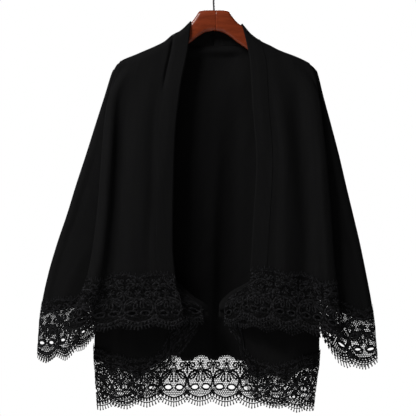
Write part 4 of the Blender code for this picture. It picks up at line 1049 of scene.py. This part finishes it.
def make_border(name, node, section, span, hem, end, lift, materials, repeat=REPEAT):
    """One lace border: its net and its raised threads."""
    lace = bpy.context.scene.shawl_lace
    fine = lace.fine_thread / MM
    strip = Strip(section, span, hem, end, lift, repeat)
    threads = Threads(strip)
    chart = side_chart(lace.outline / MM, fine)
    stretch = strip.pitch / REPEAT
    eyes = []
    for index in range(strip.repeats):
        middle = (index + 0.5) * strip.pitch
        eyes += [(np.array((middle + hand * EYE_OUT * stretch, EYE_LEVEL)),
                  np.array((EYE_OPEN[0] * stretch, EYE_OPEN[1]))) for hand in HANDS]
        lay_repeat(threads, chart, fine, middle, stretch)
    for place in np.arange(3.0, strip.total - 2, PICOT_PITCH):
        picot = Arc(place, strip.upper(place) + PICOT_DROP, PICOT_RADIUS, PICOT_RADIUS, 0, 315,
                    8, 1.0)
        threads.add(arc_line(picot), PICOT_WIDTH, closed=True)
    for number, place in enumerate(np.arange(2.0, strip.total - 1, SPIKE_PITCH)):
        edge, length = strip.upper(place), SPIKES[number % len(SPIKES)]
        threads.add([(place, edge + SPIKE_FOOT), (place + SPIKE_LEAN, edge - length)],
                    SPIKE_WIDTHS, SPIKE_HEIGHT)
    knots_and_glints = threads.piece(name + "_threads", materials["lace"])
    net = make_net(name + "_net", strip, lace, eyes, materials["net"])
    declare_cut(net)
    for piece in (net, knots_and_glints):
        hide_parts(node)


def cuff_end(side, column):
    return hem_line(CUFF_LACE_END[side])(column) + hem_line(CUFF_LACE_SHIFT[side])(column)


def no_lift(column):
    return np.zeros_like(column)


def front_lift(column):
    """Clearance of a front's border, which grows past its creases and past its fold."""
    return sum(0.9 * ramp(column, start, 0.8) for start in (2.8, 6.6))


def back_lift(column):
    """Clearance of the tail's border, most beside the folds and at the side seams."""
    near = nearer_seam(column)
    return 0.5 + 0.9 * ramp(-np.abs(near - 3), -2.0, 1.0) + 1.2 * (1 - ramp(near, 0, 1.2))


class Value:
    """A shader socket that adds its Math node when it is used in an expression."""

    def __init__(self, graph, socket):
        self.graph, self.socket = graph, socket

    def math(self, operation, *values):
        return self.graph.node("ShaderNodeMath", {"operation": operation},
                               dict(enumerate(values)))[0]

    def __add__(self, other):
        return self.math("ADD", self, other)

    def __radd__(self, other):
        return self.math("ADD", other, self)

    def __sub__(self, other):
        return self.math("SUBTRACT", self, other)

    def __rsub__(self, other):
        return self.math("SUBTRACT", other, self)

    def __mul__(self, other):
        return self.math("MULTIPLY", self, other)

    def __rmul__(self, other):
        return self.math("MULTIPLY", other, self)

    def sine(self):
        return self.math("SINE", self)

    def waves(self):
        """Sine brought into the range from 0 to 1."""
        return self.sine() * 0.5 + 0.5


class Graph:
    """Node tree of one material, or of the world."""

    def __init__(self, name, world=False):
        self.owner = (bpy.data.worlds if world else bpy.data.materials).new(name)
        self.owner.use_nodes = True
        self.tree = self.owner.node_tree
        if world:
            self.tree.nodes.clear()
        else:
            self.shader = self.tree.nodes["Principled BSDF"]

    def node(self, kind, settings, values):
        made = self.tree.nodes.new(kind)
        for key, value in settings.items():
            setattr(made, key, value)
        for key, value in values.items():
            if isinstance(value, Value):
                self.tree.links.new(value.socket, made.inputs[key])
            else:
                made.inputs[key].default_value = value
        return [Value(self, output) for output in made.outputs]

    def cloth_map(self):
        return self.node("ShaderNodeUVMap", {"uv_map": "cloth"}, {})[0]

    def object_place(self):
        return self.node("ShaderNodeTexCoord", {}, {})[3]

    def split(self, vector):
        return self.node("ShaderNodeSeparateXYZ", {}, {0: vector})

    def vector(self, operation, first, second):
        return self.node("ShaderNodeVectorMath", {"operation": operation},
                         {0: first, 1: second})[0]

    def noise(self, vector, scale, detail=3.0, rough=0.5, stretch=None):
        if stretch:
            vector = self.vector("MULTIPLY", vector, stretch)
        return self.node("ShaderNodeTexNoise", {}, {"Vector": vector, "Scale": scale,
                                                    "Detail": detail, "Roughness": rough})[0]

    def colour(self, part, dark, light):
        """Base colour that goes from dark to light."""
        values = {0: part, 6: (*dark, 1.0), 7: (*light, 1.0)}
        self.feed("Base Color", self.node("ShaderNodeMix", {"data_type": "RGBA"}, values)[2])

    def bump(self, height, distance, strength):
        values = {"Height": height, "Distance": distance, "Strength": strength}
        self.feed("Normal", self.node("ShaderNodeBump", {}, values)[0])

    def feed(self, name, value):
        self.tree.links.new(value.socket, self.shader.inputs[name])

    def fixed(self, **values):
        for name, value in values.items():
            self.shader.inputs[name.replace("_", " ")].default_value = value


def tint(colour, factor):
    return np.array(colour) * factor


def knit_material(name, colour, wale, course, sheen):
    """Fine knit: upright wales crossed by courses, with faint streaks down the cloth, and painted
    shade that darkens the colour in the grooves between the wales.
    """
    graph = Graph(name)
    where = graph.cloth_map()
    across, down, _ = graph.split(where)
    sway = graph.noise(where, scale=40.0, detail=2.0) * 0.0012
    wales = ((across + sway) * (2 * math.pi / wale)).waves()
    courses = (down * (2 * math.pi / course) + wales * 1.4).waves()
    streaks = graph.noise(where, scale=420.0, detail=4.0, rough=0.6, stretch=(1.0, 0.03, 1.0))
    broad = graph.noise(where, scale=60.0, detail=2.0, stretch=(1.0, 0.12, 1.0))
    shade = streaks * 0.7 + broad * 0.5 - 0.1
    # Painted shade: the colour is darkened in the grooves between the wales, where the bump is
    # low; the streaks are the knit's own uneven tone.
    graph.colour(shade * (wales * 0.35 + 0.65), tint(colour, 0.55), tint(colour, 1.9))
    graph.feed("Roughness", 0.78 + graph.noise(where, scale=300.0) * 0.2)
    graph.bump(wales * 0.7 + courses * 0.25 + streaks * 0.5, distance=0.0005, strength=0.55)
    graph.fixed(Specular_IOR_Level=0.10, Sheen_Weight=sheen, Sheen_Roughness=0.45,
                Sheen_Tint=(0.55, 0.55, 0.6, 1.0))
    return graph.owner


def thread_material(name, colour, rough, sheen):
    """Twisted lace yarn, with painted glints: bright specks in its colour, and painted highlights
    along its twist.
    """
    graph = Graph(name)
    where = graph.cloth_map()
    across, down, _ = graph.split(where)
    twist = ((across + down) * (2 * math.pi / YARN_TWIST)).waves()
    fuzz = graph.noise(where, scale=1500.0, detail=2.0)
    knots_and_glints = graph.noise(where, scale=240.0, detail=1.0)
    # Painted glints: a coarse noise lights the colour in bright specks up to three times the
    # yarn's colour, and the twist lightens it on the raised plies as painted highlights.
    graph.colour(knots_and_glints * 4.0 - 1.85 + twist * 0.1 + fuzz * 0.2, tint(colour, 0.4),
                 tint(colour, 3.0))
    graph.feed("Roughness", rough + fuzz * 0.2)
    graph.bump(twist * 0.6 + fuzz * 0.5, distance=0.0003, strength=0.5)
    graph.fixed(Specular_IOR_Level=0.14, Sheen_Weight=sheen, Sheen_Roughness=0.4)
    return graph.owner


def wood_material(name, colour, shift):
    """Varnished red-brown wood with its grain along the arm."""
    graph = Graph(name)
    moved = graph.vector("ADD", graph.object_place(), (shift, 0.02, shift))
    warp = graph.noise(moved, scale=3.0, stretch=(3.0, 14.0, 14.0))
    grain = graph.noise(moved, scale=2.6, detail=6.0, rough=0.7, stretch=(26.0, 200.0, 190.0))
    _, _, up = graph.split(moved)
    bands = (up * 420.0 + warp * 9.0).waves()
    graph.colour(grain * 0.9 + bands * 0.14 - 0.06, tint(colour, 0.45),
                 tint(colour, (1.7, 2.0, 1.9)))
    graph.feed("Roughness", 0.24 + grain * 0.16)
    graph.bump(grain, distance=0.00012, strength=0.35)
    graph.fixed(Specular_IOR_Level=0.2, Coat_Weight=0.25, Coat_Roughness=0.14)
    return graph.owner


def metal_material(name, colour):
    """Bright wire with faint wear along it."""
    graph = Graph(name)
    wear = graph.noise(graph.object_place(), scale=900.0, stretch=(1.0, 1.0, 0.2))
    graph.colour(wear, tint(colour, 0.86), np.minimum(tint(colour, 1.08), 1.0))
    graph.feed("Roughness", 0.12 + wear * 0.12)
    graph.bump(wear, distance=0.00004, strength=0.2)
    graph.fixed(Metallic=1.0)
    return graph.owner


def floor_material(name):
    graph = Graph(name)
    mottle = graph.noise(graph.object_place(), scale=6.0, detail=2.0)
    graph.colour(mottle, (0.90, 0.90, 0.90), (0.93, 0.93, 0.93))
    graph.fixed(Roughness=0.7)
    return graph.owner


def length_setting(name, description, default, low, high):
    return FloatProperty(name=name, description=description, default=default, min=low, max=high,
                         subtype="DISTANCE", unit="LENGTH")


def colour_setting(name, description, default):
    return FloatVectorProperty(name=name, description=description, default=default, min=0, max=1,
                               size=3, subtype="COLOR")


def power_setting(name, description, default):
    return FloatProperty(name=name, description=description, default=default, min=0, max=500,
                         subtype="POWER", unit="POWER")


class KnitSettings(bpy.types.PropertyGroup):
    wall: length_setting("Cloth wall", "Thickness of the single knit", 0.0012, 0.0006, 0.003)
    band_wall: length_setting("Band wall", "Thickness of the doubled neck band",
                              0.0019, 0.001, 0.004)
    crease_depth: FloatProperty(name="Crease depth", description="Strength of the soft creases",
                                default=1.45, min=0.0, max=2.0, subtype="FACTOR")
    colour: colour_setting("Knit colour", "Colour of the knitted cloth",
                           (0.0046, 0.0046, 0.0049))


class LaceSettings(bpy.types.PropertyGroup):
    net_pitch: length_setting("Net pitch", "Distance between the net's cells",
                              0.0038, 0.002, 0.006)
    net_thread: length_setting("Net thread", "Width of the net's threads",
                               0.0012, 0.0002, 0.002)
    outline: length_setting("Outline", "Width of the medallions' outline",
                            0.0043, 0.0005, 0.006)
    fine_thread: length_setting("Fine thread", "Width of the finer threads",
                                0.0027, 0.0004, 0.005)
    colour: colour_setting("Lace colour", "Colour of the lace yarn", (0.0078, 0.0078, 0.0088))


class HangerSettings(bpy.types.PropertyGroup):
    wood: colour_setting("Wood colour", "Stain of the varnished wood", (0.215, 0.031, 0.0100))
    metal: colour_setting("Metal colour", "Colour of the wire hook", (0.72, 0.72, 0.74))
    corners: IntProperty(name="Roundness", description="Corners round each wooden arm",
                         default=40, min=12, max=96)


class StageSettings(bpy.types.PropertyGroup):
    key_power: power_setting("Key light", "Power of the soft light on the left", 34.0)
    side_power: power_setting("Side light", "Power of the low light on the left", 18.0)
    fill_power: power_setting("Fill light", "Power of the soft light on the right", 1.0)
    rear_power: power_setting("Rear light", "Power of the soft light behind", 45.0)


class KnitPanels(bpy.types.Operator):
    """Make the back, the fronts and the sleeves"""
    bl_idname = "shawl.knit_panels"
    bl_label = "Knit panels"

    def execute(self, context):
        material = knit_material("fine black knit", context.scene.shawl_knit.colour,
                                 wale=0.0016, course=0.0013, sheen=0.02)
        make_back(material)
        for side in SIDES:
            make_front(side, material)
            make_sleeve(side, material)
        return {"FINISHED"}


class NeckBand(bpy.types.Operator):
    """Make both halves of the neck band"""
    bl_idname = "shawl.neck_band"
    bl_label = "Neck band"

    def execute(self, context):
        material = knit_material("black band knit", context.scene.shawl_knit.colour,
                                 wale=0.0026, course=0.0018, sheen=0.025)
        for side in SIDES:
            make_band(side, material)
        return {"FINISHED"}


class LaceBorders(bpy.types.Operator):
    """Make the lace along the fronts, the tail and the cuffs"""
    bl_idname = "shawl.lace_borders"
    bl_label = "Lace borders"

    def execute(self, context):
        colour = context.scene.shawl_lace.colour
        materials = {
            "lace": thread_material("black lace yarn", colour, rough=0.72, sheen=0.015),
            "net": thread_material("black net yarn", tint(colour, 0.3), rough=0.8, sheen=0.0),
        }
        for side in SIDES:
            front, node = "front_" + side, "front_lace_" + side
            hem = hem_line(FRONT_HEM[side])
            make_border(node + "_border", node, front_section(side), (0.0, 7.75), hem,
                        hem_line(FRONT_LACE_END[side]), front_lift, materials)
            make_border(node + "_turned", node, front_section(side, -1.0, creases=False),
                        (6.5, 7.9), lambda column: hem(column) - TURNED_RISE,
                        lambda column: hem(column) + TURNED_HANG, no_lift, materials)
            for half, span in (("front", (0.0, 3.95)), ("back", (4.05, 8.0))):
                node = "cuff_lace_" + side + "_" + half
                make_border(node + "_border", node, sleeve_section(side), span,
                            hem_line(CUFF_HEM[side]), lambda column: cuff_end(side, column),
                            no_lift, materials)
        make_border("back_lace_border", "back_lace", back_section(), BACK_SPAN,
                    lambda column: tail_line(BACK_HEM, column),
                    lambda column: tail_line(BACK_LACE_END, column), back_lift, materials,
                    TAIL_REPEAT)
        return {"FINISHED"}


def arm_rings(side):
    """Out, middle, half height and half thickness of an arm's rings, from joint to tip."""
    joint = SIDES[side] * JOINT_OUT + JOINT_GAP / 2
    outs = np.concatenate([[joint, joint + 0.5], np.linspace(joint + 2.5, 60, 26),
                           np.linspace(64, 179, 31), TIP_OUTS])
    top, bottom, thick = (Curve(HANGER_ARM, column, "out")(outs)
                          for column in ("top", "bottom", "half_thickness"))
    top = top - ARM_LIFT[side] * ramp(outs, *ARM_LIFT_RAMP)
    narrow = 1 - ARM_TAPER * ramp(outs, *ARM_TAPER_RAMP)
    narrow[:2] = JOINT_SHARES
    narrow[-4:] *= TIP_SHARES
    return outs, (top + bottom) / 2, (bottom - top) / 2 * narrow, thick * narrow


def squared(values):
    """Cosines or sines of a round, pushed toward a rounded square."""
    return np.abs(values) ** ARM_SQUARENESS * np.sign(values)


def close_arm(work):
    """Welds an arm's seam, closes its ends and keeps them flat."""
    bmesh.ops.remove_doubles(work, verts=work.verts, dist=ARM_WELD)
    bmesh.ops.holes_fill(work, edges=[edge for edge in work.edges if edge.is_boundary])
    bmesh.ops.recalc_face_normals(work, faces=work.faces)
    for face in work.faces:
        face.smooth = len(face.verts) < 6


class Hanger(bpy.types.Operator):
    """Make the two wooden arms"""
    bl_idname = "shawl.hanger"
    bl_label = "Hanger"

    def execute(self, context):
        settings = context.scene.shawl_hanger
        angles = 2 * math.pi * (np.arange(settings.corners) + 0.5) / settings.corners
        across, upward = squared(np.cos(angles)), squared(np.sin(angles))
        for number, side in enumerate(SIDES):
            material = wood_material("varnished wood " + side, settings.wood, number * 0.4)
            outs, middle, tall, thick = (ring[:, None] for ring in arm_rings(side))
            points = np.stack([SIDES[side] * outs + 0 * across, thick * across,
                               tall * upward - middle], -1) * MM
            closed = np.concatenate([points, points[:, :1]], 1)
            faces = grid_faces(len(outs), settings.corners + 1, side == "left")
            piece = new_piece("hanger_arm_" + side, closed, faces, material)
            reshape(piece, close_arm)
            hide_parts("hanger_" + side)
        return {"FINISHED"}


class Hook(bpy.types.Operator):
    """Make the bent wire hook"""
    bl_idname = "shawl.hook"
    bl_label = "Hook"

    def execute(self, context):
        material = metal_material("bright metal", context.scene.shawl_hanger.metal)
        drop = HOOK_RADIUS - HOOK_WIRE
        foot = drop + HOOK_RADIUS
        turn = np.radians(HOOK_START - np.linspace(0, HOOK_TURN, HOOK_STEPS))
        bend = round_line((0.0, drop), turn, HOOK_RADIUS, -HOOK_RADIUS)
        neck = smooth_line([bend[-1], *((out, foot + down) for out, down in HOOK_NECK),
                            (0.0, HOOK_SHANK_END)], HOOK_NECK_STEPS)
        line = np.concatenate([bend, neck[1:]])
        curve = bpy.data.curves.new("wire_hook", "CURVE")
        curve.dimensions = "3D"
        curve.bevel_depth = HOOK_WIRE * MM
        curve.bevel_resolution = 6
        curve.use_fill_caps = True
        spline = curve.splines.new("POLY")
        spline.points.add(len(line) - 1)
        for point, (out, down) in zip(spline.points, line):
            point.co = (out * MM, 0.0, -down * MM, 1.0)
        spline.use_smooth = True
        curve.materials.append(material)
        piece = on_part(bpy.data.objects.new("wire_hook", curve))
        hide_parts("hook")
        return {"FINISHED"}


def on_stage(name, data, place):
    """Puts the floor, a light or the camera in its place."""
    thing = bpy.data.objects.new(name, data)
    thing.location = place
    collection_of("stage").objects.link(thing)
    return thing


class Stage(bpy.types.Operator):
    """Make the floor, the lights and the camera"""
    bl_idname = "shawl.stage"
    bl_label = "Stage"

    def execute(self, context):
        scene = context.scene
        floor = on_stage("floor", bpy.data.meshes.new("floor"), (0, 0, FLOOR_HEIGHT))
        reshape(floor, lambda work: bmesh.ops.create_circle(work, cap_ends=True, segments=96,
                                                            radius=FLOOR_RADIUS))
        floor.data.materials.append(floor_material("pale floor"))
        for row in LIGHTS:
            light = bpy.data.lights.new(row.name, "AREA")
            light.shape, light.size, light.color = "DISK", row.size, row.colour
            light.energy = getattr(scene.shawl_stage, row.name + "_power")
            lamp = on_stage(row.name, light, row.place)
            away = Vector(np.subtract(row.place, (0, 0, row.aim_height)))
            lamp.rotation_mode = "QUATERNION"
            lamp.rotation_quaternion = away.to_track_quat("Z", "Y")
            lamp.visible_camera = False

        graph = Graph("studio", world=True)
        scene.world = graph.owner
        room, backdrop = (graph.node("ShaderNodeBackground", {},
                                 {"Color": (1, 1, 1, 1), "Strength": strength})[0]
                      for strength in (ROOM_LIGHT, BACKDROP_LIGHT))
        direct = graph.node("ShaderNodeLightPath", {}, {})[0]
        shade = graph.node("ShaderNodeMixShader", {}, {0: direct, 1: room, 2: backdrop})[0]
        graph.node("ShaderNodeOutputWorld", {}, {0: shade})

        camera = bpy.data.cameras.new("camera")
        camera.lens, camera.sensor_width = CAMERA_LENS, CAMERA_SENSOR
        camera.clip_end = CAMERA_REACH
        scene.camera = on_stage("camera", camera, CAMERA_PLACE)
        scene.camera.rotation_euler = (math.pi / 2, 0, 0)
        scene.view_settings.view_transform = "Standard"
        scene.view_settings.look = "None"
        return {"FINISHED"}


class ShawlPanel(bpy.types.Panel):
    """Sizes, colours and steps of the shawl"""
    bl_idname = "VIEW3D_PT_shawl"
    bl_label = "Lace Shawl"
    bl_space_type = "VIEW_3D"
    bl_region_type = "UI"
    bl_category = "Shawl"

    def draw(self, context):
        for group in SETTINGS:
            settings, box = getattr(context.scene, group), self.layout.box()
            for name in settings.bl_rna.properties.keys():
                if name not in ("rna_type", "name"):
                    box.prop(settings, name)
        for step in STEPS:
            self.layout.operator(step.bl_idname)


STEPS = (Stage, KnitPanels, NeckBand, LaceBorders, Hanger, Hook)
SETTINGS = {"shawl_knit": KnitSettings, "shawl_lace": LaceSettings,
            "shawl_hanger": HangerSettings, "shawl_stage": StageSettings}


def register():
    for name, settings in SETTINGS.items():
        bpy.utils.register_class(settings)
        setattr(bpy.types.Scene, name, PointerProperty(type=settings))
    for step in STEPS + (ShawlPanel,):
        bpy.utils.register_class(step)


def unregister():
    for step in (ShawlPanel,) + STEPS[::-1]:
        bpy.utils.unregister_class(step)
    for name, settings in reversed(SETTINGS.items()):
        delattr(bpy.types.Scene, name)
        bpy.utils.unregister_class(settings)


def main():
    register()
    for step in STEPS:
        group, name = step.bl_idname.split(".")
        getattr(getattr(bpy.ops, group), name)()


if __name__ == "__main__":
    main()
